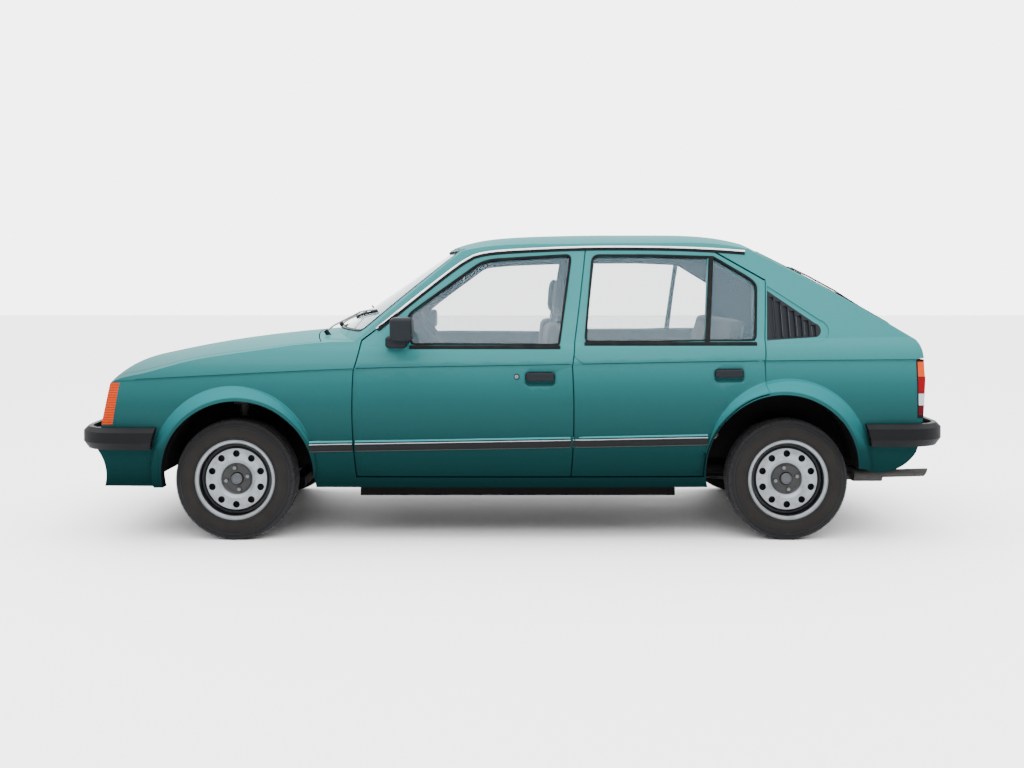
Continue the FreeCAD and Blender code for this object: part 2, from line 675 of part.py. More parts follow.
frame_depth = size("frame_depth")
posts = side_layer((door_wall - 3, frame_wall - 3), (door_wall + frame_depth, frame_wall + frame_depth))
posts = posts.common(long_loft(panel_wall - 1)).common(block(fore(510), aft(-70), outside, 0, sill_height, roof_height))
posts = posts.cut(arch_disc(rear_arch, size("well_radius") + size("well_wall") + seam, outside, 0))
side = left_shell.fuse(posts)
rebate = side_loft(door_wall + shut_gap, frame_wall + shut_gap)
valance_front = aft(545)
valance_half = shoulder_half - 15
valance_region = block(valance_front, bumper_reach, -valance_half, valance_half, 0, gate_foot - shut_gap)
tail_lamp_region = block(lamp_front_edge, bumper_reach, outside, -lamp_inner_edge, lamp_foot_height, lamp_top)
lamp_pocket = block(lamp_front_edge - seam, bumper_reach, outside, -lamp_inner_edge + shut_gap,
                    lamp_foot_height - seam, lamp_top + shut_gap)
vent_outline = [(aft(-99), waist_height + 19), (aft(-81), waist_height + 246), (aft(129), waist_height + 96),
                ((aft(152), waist_height + 62), (aft(126), waist_height + 34))]
surround_outline = [(aft(-101), waist_height + 4), (aft(-80), waist_height + 268), (aft(150), waist_height + 112),
                    ((aft(188), waist_height + 62), (aft(140), waist_height + 12))]
surround_depth = 5
vent_depth = 18
vent_prism = prism(vent_outline, outside, -300)
side_cuts = [fender_region.cut(side_loft(door_wall - 3, frame_wall - 3)), cowl_region, screen_region,
             block(fore(-900), fore(510), outside, 0, 0, roof_height),
             roof_panel, gate_region(shut_gap), valance_region, lamp_pocket,
             vent_prism.cut(side_loft(vent_depth, vent_depth)),
             prism(surround_outline, outside, -300).cut(side_loft(surround_depth, surround_depth))]
for outline in (front_door_outline, rear_door_outline):
    side_cuts.append(door_solid(outline, shut_gap).cut(rebate))
    side_cuts.append(aperture(outline))
for tool in side_cuts:
    side = side.cut(tool)
body_side = solid_only(side)
valance = solid_only(shell.common(valance_region).cut([lamp_pocket, mirrored(lamp_pocket)]))
lamp_wall = 34
tail_lamp = solid_only(outer_body.common(tail_lamp_region)
                       .cut(side_loft(lamp_wall, lamp_wall).common(long_loft(lamp_wall))))
vent_skin = side_layer((surround_depth, surround_depth), (vent_depth - 0.3, vent_depth - 0.3)).common(vent_prism)
louvre_count = int(size("louvre_count"))
vent_border = 8
vent_pitch = (aft(140) - aft(-90) - 2 * vent_border) / louvre_count
louvre_depth = 9
louvre_cuts = []
for number in range(louvre_count):
    x = aft(-90) + vent_border + number * vent_pitch
    vent_top = waist_height + 246 - (x + vent_pitch * 0.9 - aft(-85)) * 0.70 - vent_border
    vent_foot = waist_height + 20 + vent_border + 0.05 * (x - aft(-90))
    blade_end = x + vent_pitch * 0.9
    skin_y = -half_width_at(x, vent_foot) + surround_depth
    lean_in = half_width_at(x, vent_foot) - half_width_at(x, vent_top)
    louvre_cuts.append(swept([(x, skin_y - 60), (x, skin_y - 1), (blade_end, skin_y + louvre_depth),
                              (blade_end, skin_y - 60)],
                             lambda along, across: (along, across, vent_foot), (0, lean_in, vent_top - vent_foot)))
side_vent = solid_only(vent_skin.cut(louvre_cuts))

# Bumpers

def pushed_in(points, distance):
    """The plan path moved towards the middle of the car, square to itself."""
    moved = []
    for index, (x, y) in enumerate(points):
        before = points[max(index - 1, 0)]
        after = points[min(index + 1, len(points) - 1)]
        along = Vector(after[0] - before[0], after[1] - before[1], 0).normalize()
        across = Vector(along.y, -along.x, 0)
        if across.x * x + across.y * y > 0:
            across = -across
        moved.append((x + across.x * distance, y + across.y * distance))
    return moved


def bumper(path, low, high):
    """A bumper from its plan path (left end to the middle): a sloping top, an upright face and a rounded foot."""
    outer = [(x, -y) for x, y in path] + [(x, y) for x, y in reversed(path[:-1])]
    inner = pushed_in(outer, size("bumper_wall"))
    levels = [(foot_tuck * 0.7, low), (foot_tuck * 0.45, low + foot_tuck * 0.35), (0, low + foot_tuck),
              (0, high - bumper_top), (bumper_top, high)]
    rings = []
    for tuck, z in levels:
        out_edge = spline([(x, y, z) for x, y in pushed_in(outer, tuck)])
        in_edge = spline([(x, y, z) for x, y in inner])
        first = Part.makeLine(out_edge.Vertexes[0].Point, in_edge.Vertexes[0].Point)
        last = Part.makeLine(out_edge.Vertexes[-1].Point, in_edge.Vertexes[-1].Point)
        rings.append(Part.Wire(Part.__sortEdges__([out_edge, last, in_edge, first])))
    return Part.makeLoft(rings, True, True)


bumper_top = 20
foot_tuck = 32
end_lean = 28
bumper_side = half_width + 12
front_path = [(fore(-330), bumper_side), (fore(-480), bumper_side), (fore(-610), bumper_side - 26),
              (fore(-683), bumper_side - 95), (fore(-718), half_width - 240), (-bumper_reach + 7, 330),
              (-bumper_reach, 0)]
rear_path = [(aft(325), bumper_side), (aft(480), bumper_side), (aft(615), bumper_side - 26),
             (aft(690), bumper_side - 95), (aft(724), half_width - 240), (bumper_reach - 7, 330), (bumper_reach, 0)]
bracket_half = 30
bumpers = {}
for bar_name, path, end_x, way in (("front", front_path, fore(-339), 1), ("rear", rear_path, aft(332), -1)):
    low, high = ((size("bumper_low"), size("bumper_high")) if bar_name == "front"
                 else (size("rear_bumper_low"), size("rear_bumper_high")))
    near = way * (-bumper_reach + size("bumper_wall") - 6)
    far = fore(-640) if bar_name == "front" else aft(620)
    stays = []
    for y in (-480, 480):
        stays.append(block(min(near, far), max(near, far), y - bracket_half, y + bracket_half, low + 30,
                           high - 30).cut(outer_body))
    end_cut = prism([(end_x - way * end_lean, low - 5), (end_x, high + 5), (end_x + way * 60, high + 5),
                     (end_x + way * 60, low - 5)], outside, -outside)
    bar = bumper(path, low, high).cut([end_cut, outer_body])
    bumpers[bar_name] = solid_only(bar.fuse(stays))
front_bumper = bumpers["front"]
rear_bumper = bumpers["rear"]

# Floors, bulkhead and wheelhouses

floor_wall = size("floor_wall")
front_wall = fore(410)
well_radius = size("well_radius")
well_wall = size("well_wall")
floor_top = sill_height + 15
tunnel_half = size("tunnel_half")
cabin = side_loft(door_wall + frame_depth, frame_wall + frame_depth)
boot_floor_height = 405
rear_rise = aft(-500)
boot_rise = aft(-386)
floor_line = [(front_wall + 30, floor_top + 260), (fore(560), floor_top), (rear_rise, floor_top),
              (rear_rise, floor_top - floor_wall), (fore(548), floor_top - floor_wall),
              (front_wall + 2, floor_top + 254)]
tunnel = prism([(fore(555), floor_top - 4), (fore(470), floor_top + 150), (fore(700), floor_top + 120),
                (rear_rise - 2, floor_top + 105), (rear_rise - 2, floor_top - 4)], -tunnel_half, tunnel_half)
tunnel_hollow = prism([(fore(500), floor_top - floor_wall - 1), (fore(500), floor_top + 90), (fore(700), floor_top + 96),
                       (rear_rise + 1, floor_top + 85), (rear_rise + 1, floor_top - floor_wall - 1)],
                      -tunnel_half + 20, tunnel_half - 20)
front_floor = prism(floor_line, outside, -outside).common(cabin).fuse(tunnel).cut(tunnel_hollow)
seat_rails = []
rail_height = 60
for x in (fore(1010), fore(1330)):
    for y0, y1 in ((-650, -tunnel_half - 20), (tunnel_half + 20, 650)):
        seat_rails.append(block(x, x + 60, y0, y1, floor_top - 2, floor_top + rail_height))
jacking_drop = 46
jacking_rails = []
for y in (-628, 616):
    jacking_rails.append(block(fore(560), rear_rise - 2, y, y + 12,
                               floor_top - floor_wall - jacking_drop, floor_top - 2))
floor_pan = solid_only(front_floor.fuse(seat_rails + jacking_rails))

rear_half_inner = size("rear_well_depth") - well_wall
rear_foot = sill_height + seam
rear_line = [(rear_rise + seam, rear_foot), (rear_rise + seam, floor_top + 120),
             (boot_rise, boot_floor_height), (aft(560), boot_floor_height),
             (aft(560), boot_floor_height - floor_wall), (boot_rise + 30, boot_floor_height - floor_wall),
             (rear_rise + floor_wall, floor_top + 90), (rear_rise + floor_wall, rear_foot)]
rear_slab = prism(rear_line, outside, -outside).common(hollow)
spare_well = Part.makeCylinder(310, 165, Vector(aft(330), 0, boot_floor_height - 165))
spare_hollow = Part.makeCylinder(290, 150, Vector(aft(330), 0, boot_floor_height - 147))
wells_out = [arch_disc(rear_arch, well_radius + well_wall, outside, -rear_half_inner),
             arch_disc(rear_arch, well_radius + well_wall, rear_half_inner, -outside)]
lining = arch_disc(rear_arch, well_radius + well_wall, outside, -rear_half_inner).cut(
    arch_disc(rear_arch, well_radius, outside, -rear_half_inner - well_wall))
lining_foot = boot_floor_height - 56
lining = lining.common(hollow).common(block(aft(-500), aft(500), outside, 0, lining_foot, 900))
rear_floor = rear_slab.fuse(spare_well).cut([spare_hollow] + wells_out).fuse([lining, mirrored(lining)])
rear_floor = solid_only(rear_floor.cut([body_side, mirrored(body_side), valance]))

bulkhead_plate = block(front_wall, front_wall + 14, -720, 720, sill_height + 20, waist_height + 40)
bulkhead_plate = bulkhead_plate.common(hollow).cut([floor_pan, cowl])
bulkhead = Part.makeCompound([solid_only(bulkhead_plate), cowl])

front_half_inner = size("front_well_depth") - well_wall
wing_lining = arch_disc(front_arch, well_radius + well_wall, outside, -front_half_inner).cut(
    arch_disc(front_arch, well_radius, outside, -front_half_inner - well_wall))
wing_lining = wing_lining.common(thin_hollow).common(block(fore(-500), front_wall - seam, outside, 0,
                                                           sill_height + 60, 900))
inner_wall = block(fore(-520), front_wall - seam, -front_half_inner - well_wall, -front_half_inner,
                   sill_height + 60, crease_height + 10)
rail = block(fore(-640), front_wall - seam, -front_half_inner - 2, -front_half_inner + 60, 300, 380)
strut_axis_top = (fore(0), -475, 790)
strut_axis_foot = (fore(0), -600, 165)
tower_foot = 640
tower = Part.makeCylinder(88, 182, Vector(front_axle, -480, tower_foot))
strut_hole = Part.makeCylinder(34, 90, Vector(front_axle, -475, 760))
spring_bore = rod((front_axle, -517, 580), (front_axle, -479, 770), 70)
inner_wing = inner_wall.fuse([wing_lining, rail, tower]).cut(
    [strut_hole, spring_bore, arch_disc(front_arch, well_radius, outside, -front_half_inner - well_wall)])
hinge_foot = block(fore(278), fore(318), -front_half_inner - well_wall, -front_half_inner + 40, crease_height - 20,
                   waist_height + 80).common(long_loft(panel_wall + size("seat_gap")))
inner_wing = inner_wing.common(long_loft(panel_wall + shut_gap)).fuse(hinge_foot)
inner_wings = both_sides(solid_only(inner_wing.cut([nose_panel, cowl])))

# Wheels, knuckles, axle and suspension

def body_on_car(name):
    body = document.addObject("PartDesign::Body", name)
    return body


def origin_plane(body, role):
    return [part for part in body.Origin.OriginFeatures if part.Role == role][0]


def profile_sketch(body, name, role, corners):
    """A closed sketch whose corners are bound to the sheet, each as two expressions."""
    sketch = body.newObject("Sketcher::SketchObject", name)
    sketch.AttachmentSupport = [(origin_plane(body, role), "")]
    sketch.MapMode = "FlatFace"
    count = len(corners)
    turn = 2 * math.pi / count
    places = [Vector(300 + 100 * math.cos(turn * k), 300 + 100 * math.sin(turn * k), 0) for k in range(count)]
    for k in range(count):
        sketch.addGeometry(Part.LineSegment(places[k], places[(k + 1) % count]), False)
    for k in range(count):
        sketch.addConstraint(Sketcher.Constraint("Coincident", k, 2, (k + 1) % count, 1))
    for k, (across, up) in enumerate(corners):
        for kind, text, start in (("DistanceX", across, places[k].x), ("DistanceY", up, places[k].y)):
            number = sketch.addConstraint(Sketcher.Constraint(kind, -1, 1, k, 1, start))
            sketch.setExpression(f"Constraints[{number}]", text)
    return sketch


def turned(body, name, corners):
    """A PartDesign revolution about the wheel's axis, from (across, radius) corners."""
    sketch = profile_sketch(body, name + "_profile", "YZ_Plane", corners)
    feature = body.newObject("PartDesign::Revolution", name)
    feature.Profile = sketch
    feature.ReferenceAxis = (sketch, ["H_Axis"])
    feature.Angle = 360
    return feature


def place_wheel(body, along, side):
    """Puts a wheel piece on its hub; the left ones are turned to face outwards."""
    if side < 0:
        body.Placement = Placement(Vector(0, 0, 0), Rotation(Vector(0, 0, 1), 180))
    body.setExpression("Placement.Base.x", along)
    body.setExpression("Placement.Base.y", f"{side} * car.track / 2")
    body.setExpression("Placement.Base.z", "car.tyre_radius")


TYRE = [("-car.tyre_width / 2 + 16", "car.tyre_radius"), ("car.tyre_width / 2 - 16", "car.tyre_radius"),
        ("car.tyre_width / 2 - 3", "car.tyre_radius - 15"),
        ("car.tyre_width / 2", "car.tyre_radius - 45"),
        ("car.rim_width / 2 - 4", "car.rim_radius + car.seat_gap"),
        ("-car.rim_width / 2 + 4", "car.rim_radius + car.seat_gap"),
        ("-car.tyre_width / 2", "car.tyre_radius - 45"),
        ("-car.tyre_width / 2 + 3", "car.tyre_radius - 15")]
SEAT = "car.rim_radius - 12"
INSIDE = "car.rim_radius - 12 - car.rim_wall"
RIM = [("car.rim_width / 2", "car.rim_radius"), ("car.rim_width / 2 - 8", "car.rim_radius"),
       ("car.rim_width / 2 - 8", SEAT), ("-car.rim_width / 2 + 8", SEAT),
       ("-car.rim_width / 2 + 8", "car.rim_radius"), ("-car.rim_width / 2", "car.rim_radius"),
       ("-car.rim_width / 2", INSIDE), ("8", INSIDE), ("18", "car.disc_crown + 16"), ("34", "car.disc_crown - 4"),
       ("37", "car.disc_crown - 22"), ("34", "car.hub_radius + 22"), ("24", "car.hub_radius + 6"), ("18", "car.hub_radius"),
       ("18", "car.stub_radius + car.seat_gap"), ("30", "car.stub_radius + car.seat_gap"), ("30", "0"), ("38", "0"),
       ("38", "car.cap_radius - 4"), ("34", "car.cap_radius"), ("24", "car.cap_radius + 2"), ("24", "car.hub_radius - 3"),
       ("30", "car.hub_radius + 3"), ("40", "car.hub_radius + 20"), ("43", "car.disc_crown - 22"),
       ("40", "car.disc_crown"), ("24", "car.disc_crown + 20"), ("18", INSIDE),
       ("car.rim_width / 2 - 10", INSIDE), ("car.rim_width / 2 - 2", "car.rim_radius - 11")]
WHEELS = [("front_left", FRONT_X, -1), ("front_right", FRONT_X, 1), ("rear_left", REAR_X, -1), ("rear_right", REAR_X, 1)]
for corner, along, side_sign in WHEELS:
    tyre = body_on_car("tyre_" + corner)
    turned(tyre, "tyre_turning_" + corner, TYRE)
    place_wheel(tyre, along, side_sign)
    node("tyre_" + corner, tyre)
    rim = body_on_car("rim_" + corner)
    turned(rim, "rim_turning_" + corner, RIM)
    hole_sketch = rim.newObject("Sketcher::SketchObject", "rim_hole_sketch_" + corner)
    hole_sketch.AttachmentSupport = [(origin_plane(rim, "XZ_Plane"), "")]
    hole_sketch.MapMode = "FlatFace"
    hole_sketch.addGeometry(Part.Circle(Vector(0, 100, 0), Vector(0, 0, 1), 10), False)
    hole_sketch.addConstraint(Sketcher.Constraint("DistanceX", -1, 1, 0, 3, 0))
    up = hole_sketch.addConstraint(Sketcher.Constraint("DistanceY", -1, 1, 0, 3, 100))
    wide = hole_sketch.addConstraint(Sketcher.Constraint("Radius", 0, 10))
    hole_sketch.setExpression(f"Constraints[{up}]", "car.rim_hole_circle")
    hole_sketch.setExpression(f"Constraints[{wide}]", "car.rim_hole")
    hole = rim.newObject("PartDesign::Pocket", "rim_hole_" + corner)
    hole.Profile = hole_sketch
    hole.Type = "ThroughAll"
    hole.Midplane = True
    ring = rim.newObject("PartDesign::PolarPattern", "rim_holes_" + corner)
    ring.Originals = [hole]
    ring.Axis = (hole_sketch, ["N_Axis"])
    ring.Angle = 360
    ring.setExpression("Occurrences", "car.rim_hole_count")
    rim.Tip = ring
    place_wheel(rim, along, side_sign)
    node("rim_" + corner, rim)

track = size("track")
tyre_width = size("tyre_width")
stub_radius = size("stub_radius")
strut_radius = size("strut_radius")
hub_face = track / 2 + 16
axis_way = Vector(*strut_axis_top) - Vector(*strut_axis_foot)


def on_steer_axis(height):
    share = (height - strut_axis_foot[2]) / axis_way.z
    return tuple(Vector(*strut_axis_foot) + axis_way * share)


stub = rod((front_axle, -track / 2 + 70, tyre_radius), (front_axle, -track / 2 - 29.7, tyre_radius), stub_radius)
hub_flange = rod((front_axle, -track / 2 + 70, tyre_radius), (front_axle, -track / 2 - 17.7, tyre_radius), 40)
upright = rod(on_steer_axis(200), on_steer_axis(430), 22)
strut = rod(on_steer_axis(380), on_steer_axis(762), strut_radius - 6)
spring = rod(on_steer_axis(600), on_steer_axis(735), 2 * strut_radius)
steer_arm = rod(on_steer_axis(235), (front_axle + 120, -560, 235), 12)
knuckle = solid_only(hub_flange.fuse([stub, upright, strut, spring, steer_arm]))

ball = on_steer_axis(176)
lower_arm = rod((front_axle + 10, -340, 190), (ball[0], ball[1] - 5, 176), 18)
drag_arm = rod((front_axle + 230, -360, 205), (ball[0] + 10, ball[1] + 10, 176), 14)
cross_member = block(front_axle - 40, front_axle + 60, -330, 330, 175, 250)
cross_member = cross_member.fuse([block(front_axle + 200, front_axle + 260, -390, 390, 190, 235),
                                  block(front_axle + 40, front_axle + 240, -330, -250, 185, 235),
                                  block(front_axle + 40, front_axle + 240, 250, 330, 185, 235)])
legs = [block(front_axle - 30, front_axle + 50, -380, -330, 180, 301), block(front_axle - 30, front_axle + 50, 330, 380, 180, 301)]
rack = rod((front_axle + 120, -430, 300), (front_axle + 120, 430, 300), 20)
rack_stays = [block(front_axle + 100, front_axle + 140, -300, -260, 230, 300),
              block(front_axle + 100, front_axle + 140, 260, 300, 230, 300)]
arms = [lower_arm, drag_arm, mirrored(lower_arm), mirrored(drag_arm)]
front_suspension = solid_only(cross_member.fuse(arms + legs + [rack] + rack_stays).cut([inner_wings]))

beam_x = rear_axle - 90
axle_radius = size("axle_radius")
beam = rod((beam_x, -480, tyre_radius), (beam_x, 480, tyre_radius), axle_radius + 8)
axle_parts = [beam]
for sign in (-1, 1):
    axle_parts.append(rod((rear_axle - 400, sign * 470, 300), (rear_axle + 20, sign * 470, tyre_radius), axle_radius))
    axle_parts.append(rod((rear_axle, sign * 440, tyre_radius), (rear_axle, sign * (track / 2 - 40), tyre_radius), 36))
    axle_parts.append(rod((rear_axle, sign * (track / 2 - 50), tyre_radius),
                          (rear_axle, sign * (track / 2 + 17.7), tyre_radius), 40))
    axle_parts.append(rod((rear_axle, sign * (track / 2 + 10), tyre_radius),
                          (rear_axle, sign * (track / 2 + 29.7), tyre_radius), stub_radius))
    axle_parts.append(rod((rear_axle - 30, sign * 440, tyre_radius), (rear_axle - 30, sign * 440, 379), 45))
    axle_parts.append(block(rear_axle - 430, rear_axle - 370, sign * 470 - 30, sign * 470 + 30, 280, 378.7))
rear_axle_shape = solid_only(axle_parts[0].fuse(axle_parts[1:]).cut([rear_floor]))

# Engine, tank and exhaust

engine = primitive("Box", "engine", {"Length": "car.engine_length", "Width": "car.engine_width",
                                     "Height": "car.engine_height"},
                   (FRONT_X + " - 150", "-car.engine_width / 2", "car.engine_foot"))
fuel_tank = primitive("Box", "fuel_tank",
                      {"Length": "car.tank_length", "Width": "2 * car.tank_half", "Height": "car.tank_height"},
                      (REAR_X + " - 134 - car.tank_length", "-car.tank_half", "378.7 - car.tank_height"))
node("engine", engine)
node("fuel_tank", fuel_tank)
pipe_radius = size("pipe_radius")
pipe_y = -450
silencer = Part.makeBox(133, 170, 60, Vector(aft(353), pipe_y - 85, 236))
silencer = silencer.makeFillet(26, [edge for edge in silencer.Edges
                                    if abs(edge.tangentAt(edge.FirstParameter).x) > 0.9])
pipes = [rod((fore(280), -60, 215), (aft(-420), -60, 215), pipe_radius),
         rod((aft(-420), -60, 215), (aft(120), pipe_y, 215), pipe_radius),
         rod((aft(120), pipe_y, 215), (aft(360), pipe_y, 255), pipe_radius),
         Part.makeSphere(pipe_radius, Vector(aft(-420), -60, 215)),
         Part.makeSphere(pipe_radius, Vector(aft(120), pipe_y, 215)),
         rod((aft(470), pipe_y, 262), (bumper_reach - 10, pipe_y, 269), pipe_radius)]
tip_cut = block(bumper_reach - 40, bumper_reach + 80, pipe_y - 60, pipe_y + 60, 200, 330)
tip_cut.rotate(Vector(bumper_reach - 40, pipe_y, 250), Vector(0, 1, 0), 28)
tip_bore = rod((bumper_reach - 90, pipe_y, 266), (bumper_reach + 20, pipe_y, 269.5), pipe_radius - 3)
hangers = [block(aft(400), aft(410), pipe_y - 4, pipe_y + 4, 290, 379), block(fore(700), fore(712), -66, -54, 225, 236)]
exhaust = solid_only(silencer.fuse(pipes + hangers).cut([tip_cut, tip_bore, rear_floor, floor_pan]))

# Seats and cabin fittings

seat_centre = size("seat_centre")
seat_half = size("seat_width") / 2
rail_top = floor_top + rail_height


def softened(shape, radius):
    """The same block with its edges rounded."""
    return shape.makeFillet(radius, shape.Edges)


def front_seat(middle):
    """Cushion, back and head rest of one front seat, standing on its rails."""
    low, high = middle - seat_half, middle + seat_half
    cushion = softened(prism([(fore(860), rail_top), (fore(1390), rail_top), (fore(1390), rail_top + 100),
                              (fore(850), rail_top + 150)], low, high), 22)
    back = softened(prism([(fore(1310), rail_top + 70), (fore(1420), rail_top + 60), (fore(1501), rail_top + 660),
                           (fore(1410), rail_top + 670)], low + 15, high - 15), 22)
    rest = softened(prism([(fore(1450), rail_top + 690), (fore(1500), rail_top + 688), (fore(1508), rail_top + 868),
                           (fore(1460), rail_top + 872)], middle - 130, middle + 130), 16)
    posts_up = [rod((fore(1465), middle + dy, rail_top + 640), (fore(1479), middle + dy, rail_top + 720), 6)
                for dy in (-60, 60)]
    return solid_only(cushion.fuse([back, rest] + posts_up))


front_seat_left = front_seat(-seat_centre)
front_seat_right = front_seat(seat_centre)
bench_half = 600
bench = softened(prism([(rear_rise - 180, floor_top), (rear_rise, floor_top), (rear_rise, floor_top + 145),
                        (boot_rise, boot_floor_height + 26), (aft(-290), boot_floor_height + 26),
                        (aft(-290), boot_floor_height + 100), (rear_rise - 190, floor_top + 210)],
                       -bench_half, bench_half), 14)
bench_back = softened(prism([(aft(-400), boot_floor_height + 20), (aft(-290), boot_floor_height + 2),
                             (aft(-120), waist_height + 110), (aft(-235), waist_height + 118)],
                            -bench_half + 20, bench_half - 20), 18)
rear_seat = solid_only(bench.fuse(bench_back).cut([rear_floor, floor_pan, body_side, mirrored(body_side)]))
dash_half = 668
dash = prism([(front_wall + 14 + seam, waist_height - 330), (fore(620), waist_height - 330), (fore(740), waist_height - 220),
              (fore(752), waist_height - 60), (fore(700), waist_height + 8), (fore(560), waist_height - 12),
              (front_wall + 14 + seam, waist_height - 20)], -dash_half, dash_half)
binnacle = prism([(fore(640), waist_height), (fore(760), waist_height - 40), (fore(770), waist_height + 40),
                  (fore(680), waist_height + 58)], -seat_centre - 150, -seat_centre + 150)
wheel_lean = 32.5
lean = math.radians(wheel_lean)
column_way = Vector(-math.cos(lean), 0, -math.sin(lean))
grip_centre = Vector(fore(910), -seat_centre, waist_height - 15)
column_end = grip_centre + column_way * 60
column_start = grip_centre + column_way * 330
column = rod(tuple(column_start), tuple(column_end), 30)
dashboard = solid_only(dash.fuse([binnacle, column]).cut([body_side, mirrored(body_side), bulkhead_plate, cowl]))
wheel_grip = size("wheel_grip")
grip = Part.makeTorus(wheel_grip - size("grip_thickness"), size("grip_thickness"), grip_centre, column_way)
boss_face = grip_centre - column_way * 12
boss = rod(tuple(grip_centre + column_way * (60 - size("seat_gap"))), tuple(boss_face), 50)
spoke_way = Vector(0, 1, 0)
spokes = []
for angle in (0, 180, 270):
    turn = Rotation(column_way, angle)
    tip = turn.multVec(spoke_way) * (wheel_grip - size("grip_thickness") - 2)
    spokes.append(rod(tuple(grip_centre + column_way * 20), tuple(grip_centre + tip), 11))
steering_wheel = solid_only(grip.fuse([boss] + spokes))
mirror_glass_y = 120
cabin_mirror = softened(block(fore(975), fore(1012), -mirror_glass_y, mirror_glass_y, roof_height - 240, roof_height - 184), 10)
mirror_stem = rod((fore(990), 0, roof_height - 190), (fore(960), 0, roof_height - 60), 7)
inner_mirror = solid_only(cabin_mirror.fuse(mirror_stem).cut([roof_panel, windscreen]))
door_mirror = softened(block(fore(722), fore(820), -half_width - 128, -half_width + 12, waist_height + 24,
                             waist_height + 128), 20)
mirror_foot = prism([(fore(700), waist_height + 8), (fore(795), waist_height + 8), (fore(789), waist_height + 100),
                     (fore(740), waist_height + 60)], -half_width - 10, -half_width + 120)
mirror_foot = mirror_foot.common(side_loft(-14, -14)).cut(side_loft(0, 0))
mirror_arm = block(fore(745), fore(790), -half_width - 20, -half_width + 75, waist_height + 12, waist_height + 44)
mirror_left = solid_only(door_mirror.fuse([mirror_foot, mirror_arm.cut(side_loft(0, 0))]))

# Naming and writing the sub-parts

shapes = {
    "floor_pan": floor_pan, "rear_floor": rear_floor, "bulkhead": bulkhead, "inner_wings": inner_wings,
    "body_sides": both_sides(body_side), "roof_panel": roof_panel, "front_fenders": both_sides(fender),
    "nose_panel": nose_panel, "rear_valance": valance, "windscreen": windscreen, "grille": grille,
    "headlamps": both_sides(headlamp), "front_indicators": both_sides(indicator), "tail_lamps": both_sides(tail_lamp),
    "side_vents": both_sides(side_vent), "front_bumper": front_bumper, "rear_bumper": rear_bumper,
    "front_suspension": front_suspension, "rear_axle": rear_axle_shape, "exhaust": exhaust,
    "front_seat_left": front_seat_left, "front_seat_right": front_seat_right, "rear_seat": rear_seat,
    "dashboard": dashboard, "inner_mirror": inner_mirror, "bonnet": bonnet, "tailgate": tailgate,
    "tailgate_glass": gate_pane, "steering_wheel": steering_wheel,
    "door_front_left": front_door, "door_front_right": mirrored(front_door),
    "door_rear_left": rear_door, "door_rear_right": mirrored(rear_door),
    "glass_front_left": front_pane, "glass_front_right": mirrored(front_pane),
    "glass_rear_left": rear_pane, "glass_rear_right": mirrored(rear_pane),
    "mirror_left": mirror_left, "mirror_right": mirrored(mirror_left),
    "knuckle_left": knuckle, "knuckle_right": mirrored(knuckle),
}
for label, shape in shapes.items():
    node(label, shape)
document.recompute()

for piece in document.Objects:
    if "Invalid" in piece.State or "Error" in piece.State:
        raise RuntimeError(f"{piece.Label} failed: {piece.State}")
os.makedirs("parts", exist_ok=True)
for label, piece in nodes.items():
    if piece.Shape.isNull() or not piece.Shape.isValid():
        raise RuntimeError(f"{label} has no valid shape")
    piece.Shape.exportStep(f"parts/{label}.step")
    print(label, len(piece.Shape.Solids), round(piece.Shape.Volume / 1e6, 2))
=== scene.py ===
import math

import bmesh
import bpy
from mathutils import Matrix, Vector
from mathutils.bvhtree import BVHTree


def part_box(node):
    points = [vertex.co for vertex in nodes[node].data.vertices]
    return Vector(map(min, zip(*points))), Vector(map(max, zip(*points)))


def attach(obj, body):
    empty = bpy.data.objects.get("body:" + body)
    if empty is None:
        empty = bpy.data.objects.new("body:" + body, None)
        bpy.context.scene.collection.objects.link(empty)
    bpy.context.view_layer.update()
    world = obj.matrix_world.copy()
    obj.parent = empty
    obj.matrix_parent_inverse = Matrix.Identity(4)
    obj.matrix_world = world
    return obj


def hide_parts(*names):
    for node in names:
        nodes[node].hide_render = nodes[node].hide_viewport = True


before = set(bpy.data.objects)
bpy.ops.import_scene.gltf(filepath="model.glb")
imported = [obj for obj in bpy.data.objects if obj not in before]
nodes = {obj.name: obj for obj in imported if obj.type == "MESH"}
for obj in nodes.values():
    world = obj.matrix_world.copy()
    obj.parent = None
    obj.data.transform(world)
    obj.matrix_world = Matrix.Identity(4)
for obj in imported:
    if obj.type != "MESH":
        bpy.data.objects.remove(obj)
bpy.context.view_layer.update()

# The car faces -X, its left side is -Y, and it stands on z = 0. Lengths are in metres.

SIDES = (("left", -1), ("right", 1))
ENDS = ("front", "rear")


# Camera, light and floor

PHOTO_WIDTH = 1024
PHOTO_HEIGHT = 768
FOCAL_PIXELS = 1206
HORIZON_ROW = 285
SENSOR = 36.0
CAMERA_PLACE = (0.0, -6.2, 1.161)
ROOM_LIGHT = 0.45
SKY_LIGHT = 5.2
SKY_ZONES = (("Y", 0.72, 0.90), ("Z", 0.24, 0.66))
OVERHEAD_POWER = 260
SOFTBOX_POWER = 200
FLOOR_HALF = 40
FLOOR_GREY = (0.86, 0.86, 0.86)


def new_object(name, data):
    made = bpy.data.objects.new(name, data)
    bpy.context.scene.collection.objects.link(made)
    return made


def make_camera():
    data = bpy.data.cameras.new("camera")
    data.sensor_width = SENSOR
    data.lens = FOCAL_PIXELS / PHOTO_WIDTH * SENSOR
    data.shift_y = (HORIZON_ROW - PHOTO_HEIGHT / 2) / PHOTO_WIDTH
    camera = new_object("camera", data)
    camera.location = CAMERA_PLACE
    camera.rotation_euler = (math.radians(90), 0, 0)
    bpy.context.scene.camera = camera


